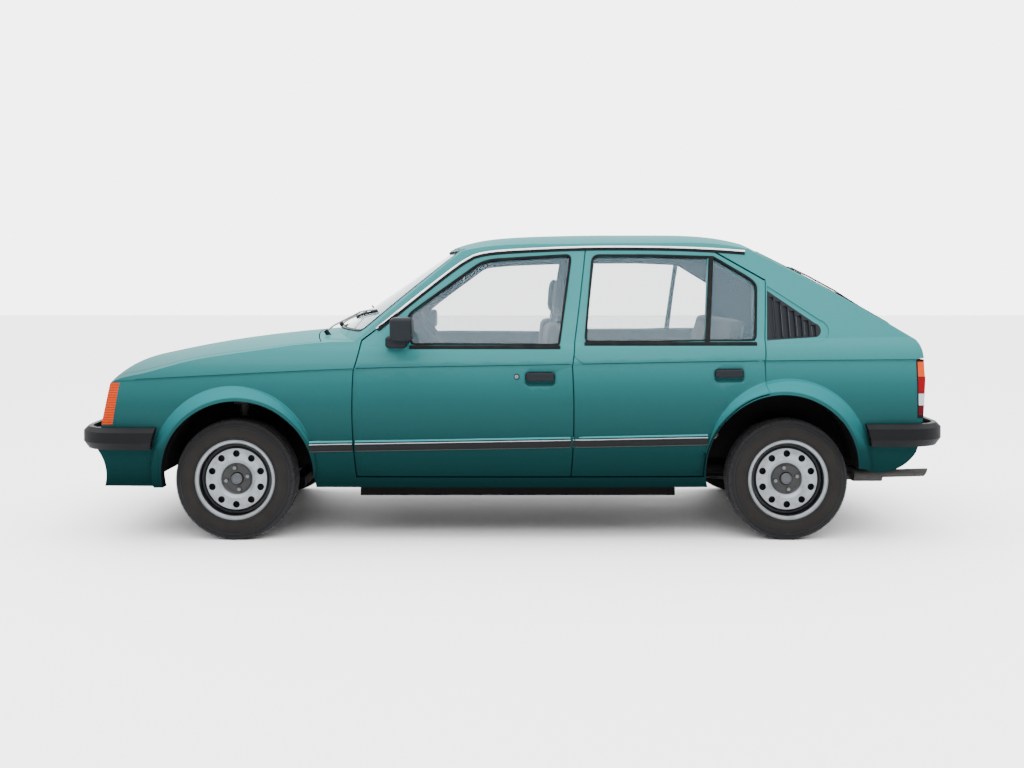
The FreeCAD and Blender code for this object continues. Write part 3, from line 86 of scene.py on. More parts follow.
def area_light(name, place, aim, width, length, power):
    data = bpy.data.lights.new(name, "AREA")
    data.shape = "RECTANGLE"
    data.size = width
    data.size_y = length
    data.energy = power
    light = new_object(name, data)
    light.location = place
    light.rotation_mode = "QUATERNION"
    light.rotation_quaternion = (Vector(aim) - Vector(place)).to_track_quat("-Z", "Y")


def make_lights():
    """A white studio: bright overhead and behind the car, darker low down on the camera's side."""
    world = bpy.data.worlds.new("studio")
    bpy.context.scene.world = world
    world.use_nodes = True
    world.node_tree.nodes.clear()
    sky = Nodes(world.node_tree)
    background = sky.add("Background")
    way = sky.split(sky.coordinates["Generated"])
    shares = [sky.spread(way[axis], low, high, 0, 1, "SMOOTHSTEP") for axis, low, high in SKY_ZONES]
    strength = sky.spread(sky.math("MAXIMUM", *shares), 0, 1, ROOM_LIGHT, SKY_LIGHT)
    sky.give(background.inputs["Color"], (1.0, 1.0, 1.0))
    sky.give(background.inputs["Strength"], strength)
    sky.give(sky.add("OutputWorld").inputs[0], background.outputs[0])
    area_light("overhead", (0, -1.2, 5.0), (0, 0, 0), 8.0, 4.5, OVERHEAD_POWER)
    area_light("side_softbox", (-1.0, -7.0, 5.5), (0, 0, 0.9), 7.0, 1.6, SOFTBOX_POWER)


def make_floor():
    far = FLOOR_HALF
    data = bpy.data.meshes.new("floor")
    data.from_pydata([(-far, -far, 0), (far, -far, 0), (far, far, 0), (-far, far, 0)], [], [(0, 1, 2, 3)])
    floor = new_object("floor", data)
    data.materials.append(Paint("studio_floor", Base_Color=FLOOR_GREY, Roughness=0.75).material)


# Node trees

class Nodes:
    """Short ways to add the nodes of a tree and to join them."""

    def __init__(self, tree):
        self.tree = tree
        self.coordinates = self.add("TexCoord").outputs

    def add(self, kind, **settings):
        made = self.tree.nodes.new("ShaderNode" + kind)
        for key, value in settings.items():
            setattr(made, key, value)
        return made

    def give(self, socket, value):
        """Links another socket to this one, or sets it to a number or a colour."""
        if isinstance(value, bpy.types.NodeSocket):
            self.tree.links.new(value, socket)
        elif isinstance(value, tuple):
            socket.default_value = (*value, 1)
        else:
            socket.default_value = value

    def split(self, vector):
        made = self.add("SeparateXYZ")
        self.give(made.inputs[0], vector)
        return made.outputs

    def spread(self, value, low, high, out_low, out_high, curve="LINEAR"):
        """Carries a value over from one range to another."""
        made = self.add("MapRange", interpolation_type=curve)
        for key, number in (("Value", value), ("From Min", low), ("From Max", high), ("To Min", out_low),
                            ("To Max", out_high)):
            self.give(made.inputs[key], number)
        return made.outputs["Result"]

    def math(self, operation, first, second=0.0):
        made = self.add("Math", operation=operation)
        self.give(made.inputs[0], first)
        self.give(made.inputs[1], second)
        return made.outputs[0]

    def times(self, first, second):
        return self.math("MULTIPLY", first, second)

    def below(self, value, limit):
        return self.math("LESS_THAN", value, limit)

    def above(self, value, limit):
        return self.math("GREATER_THAN", value, limit)

    def size(self, value):
        return self.math("ABSOLUTE", value)


class Paint(Nodes):
    """A node material round a Principled shader."""

    def __init__(self, name, **values):
        self.material = bpy.data.materials.new(name)
        self.material.use_nodes = True
        super().__init__(self.material.node_tree)
        self.shader = self.tree.nodes["Principled BSDF"].inputs
        self.set(**values)

    def set(self, **values):
        """Feeds the shader's sockets, with low lines for the spaces in their names."""
        for key, value in values.items():
            self.give(self.shader[key.replace("_", " ")], value)

    def place(self):
        return self.split(self.coordinates["Object"])

    def normal(self):
        return self.split(self.coordinates["Normal"])

    def noise(self, scale, detail):
        texture = self.add("TexNoise")
        for key, value in (("Vector", self.coordinates["Object"]), ("Scale", scale), ("Detail", detail)):
            self.give(texture.inputs[key], value)
        return texture.outputs["Fac"]

    def waves(self, value, per_metre):
        return self.math("SINE", self.times(value, 2 * math.pi * per_metre))

    def ramp(self, value, stops, steps=False):
        """A colour ramp over a value: stops are (position, colour)."""
        made = self.add("ValToRGB")
        elements = made.color_ramp.elements
        while len(elements) < len(stops):
            elements.new(0.5)
        made.color_ramp.interpolation = "CONSTANT" if steps else "LINEAR"
        for element, (position, colour) in zip(elements, stops):
            element.position = position
            element.color = (*colour, 1)
        self.give(made.inputs["Fac"], value)
        return made.outputs["Color"]

    def mix(self, share, first, second, blend="MIX"):
        """A mix of two colours, each a socket or a tuple."""
        made = self.add("Mix", data_type="RGBA", blend_type=blend)
        for socket, value in ((made.inputs["Factor"], share), (made.inputs[6], first), (made.inputs[7], second)):
            self.give(socket, value)
        return made.outputs[2]

    def bump(self, height, strength, distance):
        made = self.add("Bump")
        for key, value in (("Height", height), ("Strength", strength), ("Distance", distance)):
            self.give(made.inputs[key], value)
        self.set(Normal=made.outputs[0])


# Materials

BLACK = (0.004, 0.004, 0.0045)
TRIM_AND_SHADE_GREY = (0.030, 0.033, 0.036)
HEADLINING = (0.42, 0.42, 0.40)
LID_INSIDE = (0.02, 0.09, 0.08)
PAINT_COLOUR = (0.026, 0.134, 0.139)
PAINT_SHADE = (0.021, 0.110, 0.114)
PAINT_LOW = 0.25
PAINT_HIGH = 0.90
# Painted shade by height: how much of the paint's colour is kept, from the bottom of the body (0) to the top (1).
PAINT_SHADE_BY_HEIGHT = ((0.0, 0.080), (0.10, 0.125), (0.25, 0.175), (0.38, 0.27), (0.57, 0.375), (0.72, 0.53), (0.83, 0.72),
               (1.0, 1.0))
PAINT_COAT = 0.07
FLAKE_SCALE = 2600
PEEL_SCALE = 180
INWARD_LIMIT = -0.25
DOWNWARD_LIMIT = -0.3
ARCH_CENTRES = ((-1.236, 0.300), (1.216, 0.328))
ARCH_RADIUS = 0.342
ARCH_BLACK_EDGE = 0.0015
ARCH_BLACK_HALF = 0.812
# The arch flares' upper faces get a painted highlight, a lighter teal that fades out lower down.
FLARE_CIRCLES = ((-1.253, 0.334, 0.373), (1.242, 0.373, 0.3675))
FLARE_HIGHLIGHT_COLOUR = (0.012, 0.134, 0.148)
FLARE_LIP = 0.014
FLARE_HALF = 0.70
FLARE_HIGHLIGHT_SHARE = 0.62
FLARE_HIGHLIGHT_FADE = (0.42, 0.66)
SHEEN_FREE = 0.08


def square_from(paint, place, x, z):
    """The squared distance from a point in side view."""
    across = paint.math("SUBTRACT", place["X"], x)
    up = paint.math("SUBTRACT", place["Z"], z)
    return paint.math("ADD", paint.times(across, across), paint.times(up, up))


def inward_mask(paint, place):
    """1 on faces that look towards the middle of the car, 0 elsewhere."""
    facing = paint.times(paint.normal()["Y"], paint.math("SIGN", place["Y"]))
    return paint.below(facing, INWARD_LIMIT)


def arch_mask(paint, place):
    """1 on the inner edges of the wheel arches, which are painted black."""
    reach = (ARCH_RADIUS + ARCH_BLACK_EDGE) ** 2
    masks = [paint.below(square_from(paint, place, x, z), reach) for x, z in ARCH_CENTRES]
    return paint.times(paint.math("MAXIMUM", *masks), paint.below(paint.size(place["Y"]), ARCH_BLACK_HALF))


def flare_mask(paint, place):
    """How far a place lies on the upper faces of the arch flares, which get a painted highlight: a lighter teal for
    the light they catch.
    """
    masks = []
    for (x, z, reach), (arch_x, arch_z) in zip(FLARE_CIRCLES, ARCH_CENTRES):
        inside = paint.below(square_from(paint, place, x, z), reach ** 2)
        beyond = paint.above(square_from(paint, place, arch_x, arch_z), (ARCH_RADIUS + FLARE_LIP) ** 2)
        masks.append(paint.times(inside, beyond))
    outward = paint.above(paint.size(place["Y"]), FLARE_HALF)
    fade = paint.spread(place["Z"], *FLARE_HIGHLIGHT_FADE, 0.0, FLARE_HIGHLIGHT_SHARE)
    return paint.times(paint.times(paint.math("MAXIMUM", *masks), outward), fade)


def make_body_paint(name, inner=None, downward=False):
    """Teal paint under clear coat, with painted shade low down and a painted highlight on the arch flares; inner is
    the colour of faces turned to the cabin or the ground.
    """
    paint = Paint(name, Roughness=0.42, Coat_Roughness=0.05, Metallic=0.03, Specular_IOR_Level=0.0)
    place = paint.place()
    height = paint.spread(place["Z"], PAINT_LOW, PAINT_HIGH, 0, 1)
    colour = paint.ramp(paint.noise(FLAKE_SCALE, 1.0), [(0.35, PAINT_SHADE), (0.65, PAINT_COLOUR)])
    # Painted shade: the paint grows darker towards the bottom of the body.
    depth = paint.ramp(height, [(share, (shade, shade, shade)) for share, shade in PAINT_SHADE_BY_HEIGHT])
    colour = paint.mix(1.0, colour, depth, "MULTIPLY")
    # Painted highlight on the upper faces of the arch flares.
    colour = paint.mix(flare_mask(paint, place), colour, FLARE_HIGHLIGHT_COLOUR)
    # The inner edges of the wheel arches are painted black.
    colour = paint.mix(arch_mask(paint, place), colour, BLACK)
    if inner is not None:
        mask = paint.below(paint.normal()["Z"], DOWNWARD_LIMIT) if downward else inward_mask(paint, place)
        colour = paint.mix(mask, colour, inner)
    paint.set(Base_Color=colour, Coat_Weight=paint.spread(height, 0.2, 0.9, 0.0, PAINT_COAT))
    paint.bump(paint.noise(PEEL_SCALE, 1.0), 0.012, 0.001)
    return paint.material


def make_plastic(name, colour, roughness, grain=900, depth=0.15):
    """Moulded plastic with a fine grain."""
    paint = Paint(name, Base_Color=colour, Specular_IOR_Level=SHEEN_FREE)
    paint.bump(paint.noise(grain, 2.0), depth, 0.0006)
    paint.set(Roughness=paint.spread(paint.noise(6, 4.0), 0.3, 0.7, roughness - 0.06, roughness + 0.06))
    return paint.material


def make_metal(name, colour, roughness, metallic=1.0):
    """Metal with cloudy patches of shine and shade."""
    paint = Paint(name, Metallic=metallic)
    patches = paint.noise(40, 5.0)
    shade = tuple(channel * 0.82 for channel in colour)
    paint.set(Roughness=paint.spread(patches, 0.3, 0.7, roughness * 0.8, roughness * 1.25),
              Base_Color=paint.ramp(patches, [(0.3, shade), (0.7, colour)]))
    return paint.material


def make_rubber(name, colour):
    """Black rubber with a little dust."""
    paint = Paint(name, Roughness=0.78, Specular_IOR_Level=SHEEN_FREE)
    dusty = tuple(channel * 1.6 + 0.002 for channel in colour)
    paint.set(Base_Color=paint.ramp(paint.noise(18, 6.0), [(0.4, colour), (0.75, dusty)]))
    paint.bump(paint.noise(700, 2.0), 0.2, 0.0006)
    return paint.material


def make_glass(name, tint, clear, edge):
    """Window glass: a pale blue veil face on, and a mirror at a grazing angle."""
    paint = Paint(name, Base_Color=tint, Roughness=0.03)
    weight = paint.add("LayerWeight")
    weight.inputs["Blend"].default_value = 0.3
    paint.set(Alpha=paint.spread(weight.outputs["Fresnel"], 0.0, 1.0, clear, edge))
    return paint.material


AXLES = {"front": -1.259, "rear": 1.255}
WHEEL_HEIGHT = 0.275
SILVER = (0.20, 0.22, 0.235)
STEP_SHADE_GREY = (0.075, 0.083, 0.090)
GROOVE_SHADE = (0.006, 0.006, 0.007)
WHEEL_REACH = 0.2
# Bands by radius: the dark grooves and the grey steps are painted shade on the one silver paint.
WHEEL_BANDS = ((0.070, (0.030, 0.032, 0.034)), (0.076, SILVER), (0.138, SILVER), (0.1415, GROOVE_SHADE), (0.1485, GROOVE_SHADE),
               (0.1500, STEP_SHADE_GREY), (0.1610, STEP_SHADE_GREY), (0.1625, GROOVE_SHADE), (0.1650, GROOVE_SHADE), (0.1665, SILVER),
               (0.1800, SILVER), (0.1815, STEP_SHADE_GREY))
WHEEL_DIRT = (0.035, 0.034, 0.032)
TYRE_DARK = (0.0092, 0.0095, 0.0105)
TYRE_BROWN = (0.0112, 0.0100, 0.0094)
TYRE_DUST_AND_SHEEN = (0.0260, 0.0265, 0.0290)
TYRE_DIRT = (0.016, 0.015, 0.0135)
TYRE_REACH = 0.3
# Bands by radius: the light colour is dust on the tread, and a painted highlight in the thin ring on the sidewall's
# ridge.
TYRE_BANDS = ((0.184, TYRE_DARK), (0.200, TYRE_BROWN), (0.226, TYRE_BROWN), (0.240, TYRE_DARK), (0.2455, TYRE_DARK),
              (0.2470, TYRE_DUST_AND_SHEEN), (0.2485, TYRE_DARK), (0.256, TYRE_DARK), (0.268, TYRE_DUST_AND_SHEEN), (0.275, TYRE_DUST_AND_SHEEN))


def ring_bands(paint, centre_x, bands, reach):
    """Colours by the distance from a wheel's axis."""
    radius = paint.math("SQRT", square_from(paint, paint.place(), centre_x, WHEEL_HEIGHT))
    return paint.ramp(paint.math("DIVIDE", radius, reach), [(edge / reach, colour) for edge, colour in bands])


def make_wheel_paint(name, centre_x):
    """Silver wheel paint with painted shade: dark grooves between the flange, the inner step and the crown, and a
    darker grey on the steps.
    """
    paint = Paint(name, Roughness=0.42, Metallic=0.45)
    dirt = paint.spread(paint.noise(30, 6.0), 0.45, 0.80, 0.0, 0.45)
    paint.set(Base_Color=paint.mix(dirt, ring_bands(paint, centre_x, WHEEL_BANDS, WHEEL_REACH), WHEEL_DIRT))
    return paint.material


def make_tyre_paint(name, centre_x):
    """Tyre rubber: a dusty tread, a fine sidewall ring painted light as a highlight on its ridge, and a brownish tint
    half way down the wall.
    """
    paint = Paint(name, Roughness=0.80, Specular_IOR_Level=SHEEN_FREE)
    dust = paint.spread(paint.noise(14, 6.0), 0.35, 0.75, 0.0, 0.5)
    paint.set(Base_Color=paint.mix(dust, ring_bands(paint, centre_x, TYRE_BANDS, TYRE_REACH), TYRE_DIRT))
    paint.bump(paint.noise(700, 2.0), 0.2, 0.0006)
    return paint.material


LAMP_FOOT = 0.561
LAMP_HEAD = 0.824
LAMP_FRAME_X = 1.834
LAMP_FRAME_Y = 0.478
LAMP_LINE = (0.008, 0.008, 0.008)
LAMP_STACK = [(0.0, (0.060, 0.001, 0.004)), (0.200, LAMP_LINE), (0.215, (0.30, 0.33, 0.35)), (0.415, LAMP_LINE),
              (0.430, (0.150, 0.0005, 0.003)), (0.692, LAMP_LINE), (0.707, (0.42, 0.038, 0.001))]
HEADLAMP_Y = 0.556
REFLECTOR = [(0.0, (0.75, 0.78, 0.80)), (0.35, (0.35, 0.37, 0.38)), (0.6, (0.70, 0.72, 0.74)),
             (0.97, (0.30, 0.31, 0.32)), (1.0, BLACK)]
AMBER = (0.36, 0.030, 0.001)
CLOTH = (0.070, 0.062, 0.053)
CLOTH_SHADE = (0.035, 0.031, 0.026)
THREADS = 2200


def make_tail_lamp():
    """Stacked lenses in a black frame: amber, red, clear and dark red from the top down."""
    paint = Paint("tail_lamp", Roughness=0.30, Specular_IOR_Level=0.06)
    place = paint.place()
    lenses = paint.ramp(paint.spread(place["Z"], LAMP_FOOT, LAMP_HEAD, 0, 1), LAMP_STACK, steps=True)
    paint.bump(paint.waves(place["Z"], 140), 0.25, 0.002)
    edges = [paint.below(place["X"], LAMP_FRAME_X), paint.below(place["Z"], LAMP_FOOT + 0.014),
             paint.above(place["Z"], LAMP_HEAD - 0.010), paint.below(paint.size(place["Y"]), LAMP_FRAME_Y)]
    while len(edges) > 1:
        edges.append(paint.math("MAXIMUM", edges.pop(), edges.pop()))
    paint.set(Base_Color=paint.mix(edges[0], lenses, BLACK))
    return paint.material


def make_headlamp():
    """Clear ribbed glass over a bright reflector, in a dark frame."""
    paint = Paint("headlamp", Roughness=0.10, Metallic=0.85, Coat_Weight=1.0, Coat_Roughness=0.02)
    place = paint.place()
    paint.bump(paint.waves(place["Y"], 110), 0.45, 0.003)
    across = paint.size(paint.math("SUBTRACT", paint.size(place["Y"]), HEADLAMP_Y))
    paint.set(Base_Color=paint.ramp(paint.spread(across, 0.0, 0.12, 0, 1), REFLECTOR))
    return paint.material


def make_lens(name, colour, ribs):
    """Lamp lens with level ribs, their hollows darkened as painted shade."""
    paint = Paint(name, Roughness=0.25, Specular_IOR_Level=SHEEN_FREE)
    wave = paint.waves(paint.place()["Z"], ribs)
    paint.bump(wave, 0.35, 0.002)
    # Painted shade: the ribs' hollows are coloured darker than their crests.
    shade = tuple(channel * 0.55 for channel in colour)
    paint.set(Base_Color=paint.ramp(paint.spread(wave, -1, 1, 0, 1), [(0.1, shade), (0.8, colour)]))
    return paint.material


def make_cloth(name, colour, stripe):
    """Woven seat cloth with a soft sheen and darker threads."""
    paint = Paint(name, Roughness=0.9, Sheen_Weight=0.35, Sheen_Roughness=0.5)
    place = paint.place()
    warp = paint.math("SINE", paint.times(place["Y"], THREADS))
    weft = paint.math("SINE", paint.times(paint.math("ADD", place["X"], place["Z"]), THREADS))
    weave = paint.times(warp, weft)
    share = paint.math("ADD", paint.times(weave, 0.25), paint.noise(60, 6.0))
    paint.set(Base_Color=paint.ramp(share, [(0.3, stripe), (0.7, colour)]))
    paint.bump(weave, 0.3, 0.0008)
    return paint.material


body_paint = make_body_paint("body_paint")
# Faces turned to the cabin are dark grey: the trim's colour on the door panels, and painted shade on the inner faces
# of the window frames.
door_paint = make_body_paint("door_paint", TRIM_AND_SHADE_GREY)
roof_paint = make_body_paint("roof_paint", HEADLINING, downward=True)
lid_paint = make_body_paint("lid_paint", LID_INSIDE, downward=True)
black_plastic = make_plastic("black_plastic", (0.0055, 0.0060, 0.0068), 0.52)
# A brighter teal than the paint around it: a painted highlight along the swage ridge above the rubbing strip.
swage_highlight_paint = make_plastic("swage_highlight_paint", (0.024, 0.138, 0.150), 0.4)
# A mid grey: the screens' seal inserts, and the painted highlight on the louvres' edges.
ridge_grey = make_plastic("ridge_grey", (0.040, 0.045, 0.052), 0.5)
# A dark teal for the painted shadow under the shoulder crease.
crease_shadow_paint = make_plastic("crease_shadow_paint", (0.002, 0.014, 0.014), 0.6)
trim_plastic = make_plastic("trim_plastic", (0.0080, 0.0098, 0.0120), 0.50)
bumper_plastic = make_plastic("bumper_plastic", (0.0034, 0.0037, 0.0044), 0.55, 500, 0.25)
dash_plastic = make_plastic("dash_plastic", (0.016, 0.018, 0.020), 0.62, 700, 0.3)
underbody = make_plastic("underbody", (0.003, 0.003, 0.003), 0.85, 120, 0.6)
seal_rubber = make_rubber("seal_rubber", (0.0035, 0.0036, 0.004))
tyre_paints = {end: make_tyre_paint("tyre_paint_" + end, x) for end, x in AXLES.items()}
wheel_paints = {end: make_wheel_paint("wheel_paint_" + end, x) for end, x in AXLES.items()}
drum_iron = make_metal("drum_iron", (0.004, 0.004, 0.004), 0.7, 0.2)
bolt_steel = make_metal("bolt_steel", (0.10, 0.105, 0.11), 0.4, 0.6)
bright_metal = make_metal("bright_metal", (0.50, 0.52, 0.54), 0.22)
raw_steel = make_metal("raw_steel", (0.03, 0.029, 0.028), 0.6, 0.5)
engine_iron = make_metal("engine_iron", (0.08, 0.08, 0.085), 0.6, 0.6)
dull_metal = make_metal("dull_metal", (0.22, 0.23, 0.24), 0.40, 0.9)
hub_grey = make_metal("hub_grey", (0.011, 0.0115, 0.012), 0.55, 0.3)
cap_grey = make_metal("cap_grey", (0.045, 0.050, 0.056), 0.5, 0.3)
side_glass = make_glass("side_glass", (0.125, 0.200, 0.250), 0.15, 0.80)
screen_glass = make_glass("screen_glass", (0.20, 0.285, 0.325), 0.22, 0.95)
seat_cloth = make_cloth("seat_cloth", CLOTH, CLOTH_SHADE)

NODE_MATERIALS = (
    (body_paint, "front_fenders nose_panel rear_valance"),
    (door_paint, "body_sides door_front_left door_front_right door_rear_left door_rear_right"),
    (roof_paint, "roof_panel"),
    (lid_paint, "bonnet tailgate bulkhead"),
    (underbody, "floor_pan rear_floor inner_wings front_suspension rear_axle fuel_tank"),
    (raw_steel, "exhaust knuckle_left knuckle_right"),
    (engine_iron, "engine"),
    (screen_glass, "windscreen tailgate_glass"),
    (side_glass, "glass_front_left glass_front_right glass_rear_left glass_rear_right"),
    (black_plastic, "grille inner_mirror"),
    (trim_plastic, "side_vents mirror_left mirror_right"),
    (bumper_plastic, "front_bumper rear_bumper"),
    (dash_plastic, "dashboard steering_wheel"),
    (make_headlamp(), "headlamps"),
    (make_lens("amber_lens", AMBER, 90), "front_indicators"),
    (make_tail_lamp(), "tail_lamps"),
    (seat_cloth, "front_seat_left front_seat_right rear_seat"),
    (tyre_paints["front"], "tyre_front_left tyre_front_right"),
    (tyre_paints["rear"], "tyre_rear_left tyre_rear_right"),
    (wheel_paints["front"], "rim_front_left rim_front_right"),
    (wheel_paints["rear"], "rim_rear_left rim_rear_right"),
)


def dress(name, material):
    data = nodes[name].data
    data.materials.clear()
    data.materials.append(material)



# Pieces: meshes, sweeps and the car's skin

SHARP_ANGLE = math.radians(40)
SIDE_START = 1.5
END_START = 3.0
LINE_STEP = 0.04
LINE_PARTS = 8
LOOP_STEP = 0.06
CORNER_STEPS = 5
CORNER_LIMIT = 0.45
NEARLY_STRAIGHT = 1e-7


def make_piece(name, points, faces, material, body):
    """One mesh object of the car, riding on a CAD body; edges sharper than SHARP_ANGLE stay sharp."""
    data = bpy.data.meshes.new(name)
    data.from_pydata([tuple(point) for point in points], [], faces)
    bm = bmesh.new()
    bm.from_mesh(data)
    bmesh.ops.recalc_face_normals(bm, faces=bm.faces)
    for edge in bm.edges:
        edge.smooth = len(edge.link_faces) < 2 or edge.calc_face_angle(0) < SHARP_ANGLE
    for face in bm.faces:
        face.smooth = True
    bm.to_mesh(data)
    bm.free()
    data.materials.append(material)
    piece = new_object(name, data)
    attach(piece, body)
    return piece


def ring_faces(rings, count, closed):
    """Faces between rings of points; a run that isn't closed is capped at both ends."""
    faces = []
    for ring in range(rings if closed else rings - 1):
        start, after = ring * count, (ring + 1) % rings * count
        for k in range(count):
            following = (k + 1) % count
            faces.append((start + k, start + following, after + following, after + k))
    if not closed:
        faces.append(tuple(range(count)))
        faces.append(tuple(range((rings - 1) * count, rings * count)))
    return faces


def sweep(name, path, profile, material, body, closed=False):
    """Moves a closed (across, out) profile along a path of (place, across way, out way) frames."""
    points = [place + across * u + out * v for place, across, out in path for u, v in profile]
    return make_piece(name, points, ring_faces(len(path), len(profile), closed), material, body)


def circle(radius, count):
    return [(radius * math.cos(2 * math.pi * k / count), radius * math.sin(2 * math.pi * k / count))
            for k in range(count)]


def along(points):
    """Frames that follow a line of points without twisting."""
    frames = []
    across = None
    for index, place in enumerate(points):
        way = (points[min(index + 1, len(points) - 1)] - points[max(index - 1, 0)]).normalized()
        if across is None:
            across = way.orthogonal().normalized()
        across = (across - way * across.dot(way)).normalized()
        frames.append((place, across, way.cross(across)))
    return frames


def tube(name, points, radius, material, body, count=12):
    return sweep(name, along([Vector(point) for point in points]), circle(radius, count), material, body)


def turned(name, centre, side, profile, material, body, segments=96, dent=None):
    """Turns a closed (out, radius) profile about a wheel's axis; dent changes a radius at an angle."""
    points = []
    for step in range(segments):
        angle = 2 * math.pi * step / segments
        for out, radius in profile:
            reach = dent(step, out, radius) if dent else radius
            points.append(centre + Vector((reach * math.cos(angle), side * out, reach * math.sin(angle))))
    return make_piece(name, points, ring_faces(segments, len(profile), True), material, body)


def rounded_box(name, low, high, radius, material, body):
    """A box with rounded edges."""
    bm = bmesh.new()
    bmesh.ops.create_cube(bm, size=1)
    middle = (Vector(low) + Vector(high)) / 2
    extent = Vector(high) - Vector(low)
    for vert in bm.verts:
        vert.co = Vector(vert.co[k] * extent[k] for k in range(3))
    bmesh.ops.bevel(bm, geom=bm.edges[:], offset=radius, segments=4, affect="EDGES", profile=0.5)
    points = [middle + vert.co for vert in bm.verts]
    faces = [[vert.index for vert in face.verts] for face in bm.faces]
    bm.free()
    return make_piece(name, points, faces, material, body)


def bend_through(points, step):
    """Points on a smooth curve through the given ones, about a step apart."""
    result = []
    last = len(points) - 1
    for index in range(last):
        before = points[max(index - 1, 0)]
        first, second = points[index], points[index + 1]
        after = points[min(index + 2, last)]
        count = max(int((second - first).length / step), 1)
        for k in range(count):
            share = k / count
            result.append(0.5 * (2 * first + (second - before) * share
                                 + (2 * before - 5 * first + 4 * second - after) * share ** 2
                                 + (3 * first - before - 3 * second + after) * share ** 3))
    result.append(points[last])
    return result


def skin_tree(names):
    """A ray target made of several CAD nodes."""
    points, faces = [], []
    for name in names:
        data = nodes[name].data
        offset = len(points)
        points.extend(vert.co.copy() for vert in data.vertices)
        faces.extend([offset + k for k in polygon.vertices] for polygon in data.polygons)
    return BVHTree.FromPolygons(points, faces)


def on_side(tree, side, x, z):
    """Place and outward way of the skin at this side-view point."""
    place, normal = tree.ray_cast(Vector((x, side * SIDE_START, z)), Vector((0, -side, 0)))[:2]
    if place is None:
        return None
    return place, normal if normal.y * side > 0 else -normal


def on_screen(tree, way, y, z):
    """Place and outward way of a screen, met along the car: way is 1 from the front and -1 from behind."""
    place, normal = tree.ray_cast(Vector((-way * END_START, y, z)), Vector((way, 0, 0)))[:2]
    return place, normal if normal.x * way < 0 else -normal


def side_frames(tree, side, points):
    """Frames along a side-view line on the skin; where the line runs to the tail, the across way is down."""
    hits = [hit for hit in (on_side(tree, side, x, z) for x, z in points) if hit is not None]
    frames = []
    for index, (place, normal) in enumerate(hits):
        before, after = hits[max(index - 1, 0)], hits[min(index + 1, len(hits) - 1)]
        out = (before[1] + normal * 2 + after[1]).normalized()
        way = (after[0] - before[0]).normalized()
        frames.append((place, out.cross(way).normalized() * side, out))
    return frames


def steps_between(start, end, count):
    return [start + (end - start) * k / count for k in range(count + 1)]


def line_between(start, end):
    """LINE_PARTS equal parts between two points of a view."""
    return list(zip(*(steps_between(first, last, LINE_PARTS) for first, last in zip(start, end))))


def spread_line(x0, x1, height):
    count = max(int(abs(x1 - x0) / LINE_STEP), 2)
    return [(x, height(x)) for x in steps_between(x0, x1, count)]


def hull(points):
    """Convex outline of a view's points, anticlockwise."""
    points = sorted(set(points))

    def chain(sequence):
        line = []
        for point in sequence:
            while len(line) > 1 and ((line[-1][0] - line[-2][0]) * (point[1] - line[-2][1])
                                     - (line[-1][1] - line[-2][1]) * (point[0] - line[-2][0])) <= NEARLY_STRAIGHT:
                line.pop()
            line.append(point)
        return line[:-1]

    return chain(points) + chain(reversed(points))


def rounded_loop(name, axis, radius):
    """Outline of a CAD node in side view (axis 0) or from the end (axis 1), rounded, and its long sides split."""
    corners = node_outline(name, axis)
    line = []
    count = len(corners)
    for index in range(count):
        corner = Vector(corners[index])
        before, after = Vector(corners[index - 1]), Vector(corners[(index + 1) % count])
        cut_in = min(radius, (before - corner).length * CORNER_LIMIT)
        cut_out = min(radius, (after - corner).length * CORNER_LIMIT)
        first = corner + (before - corner).normalized() * cut_in
        second = corner + (after - corner).normalized() * cut_out
        for share in steps_between(0, 1, CORNER_STEPS):
            line.append(first * (1 - share) ** 2 + corner * 2 * share * (1 - share) + second * share ** 2)
    split = []
    for index, point in enumerate(line):
        following = line[(index + 1) % len(line)]
        count = max(int((following - point).length / LOOP_STEP), 1)
        split.extend(point + (following - point) * (k / count) for k in range(count))
    return split


def node_outline(name, axis):
    return hull([(round(vert.co[axis], 4), round(vert.co.z, 4)) for vert in nodes[name].data.vertices])


# Side trim: rubbing strips, painted crease shadow line, drip rail, window seals, handles

SIDE_NODES = "body_sides roof_panel front_fenders door_front_{0} door_rear_{0} bulkhead"
SIDE_TREES = {side: skin_tree(SIDE_NODES.format(side).split()) for side, sign in SIDES}
STRIP_MIDDLE = 0.446
STRIP_SLOPE = 0.018
STRIP_PARTS = (("front_fenders", "body", -0.908, -0.716), ("door_front", None, -0.703, 0.262),
               ("door_rear", None, 0.276, 0.878))
STRIP_BLACK = [(-0.014, -0.003), (-0.014, 0.006), (-0.010, 0.009), (0.009, 0.008), (0.014, 0.004), (0.014, -0.003)]
STRIP_BRIGHT = [(-0.0185, -0.003), (-0.0180, 0.006), (-0.0160, 0.0075), (-0.0135, 0.006), (-0.0135, -0.003)]
STRIP_FOOT = [(0.0138, -0.003), (0.0138, 0.003), (0.0155, 0.0045), (0.0190, 0.003), (0.0190, -0.003)]
SWAGE = [(-0.032, -0.002), (-0.028, 0.0035), (-0.024, 0.0035), (-0.021, -0.002)]
# The swage layer is the ridge above the strip, coloured as a painted highlight.
STRIP_LAYERS = (("rubbing_strip_", STRIP_BLACK, black_plastic), ("strip_line_", STRIP_BRIGHT, dull_metal),
                ("strip_foot_", STRIP_FOOT, hub_grey), ("strip_swage_", SWAGE, swage_highlight_paint))
CREASE_PARTS = (("front_fenders", "body", -1.700, -0.716), ("door_front", None, -0.703, 0.262),
                ("door_rear", None, 0.276, 1.108), ("rear_quarter", "body", 1.126, 1.824))
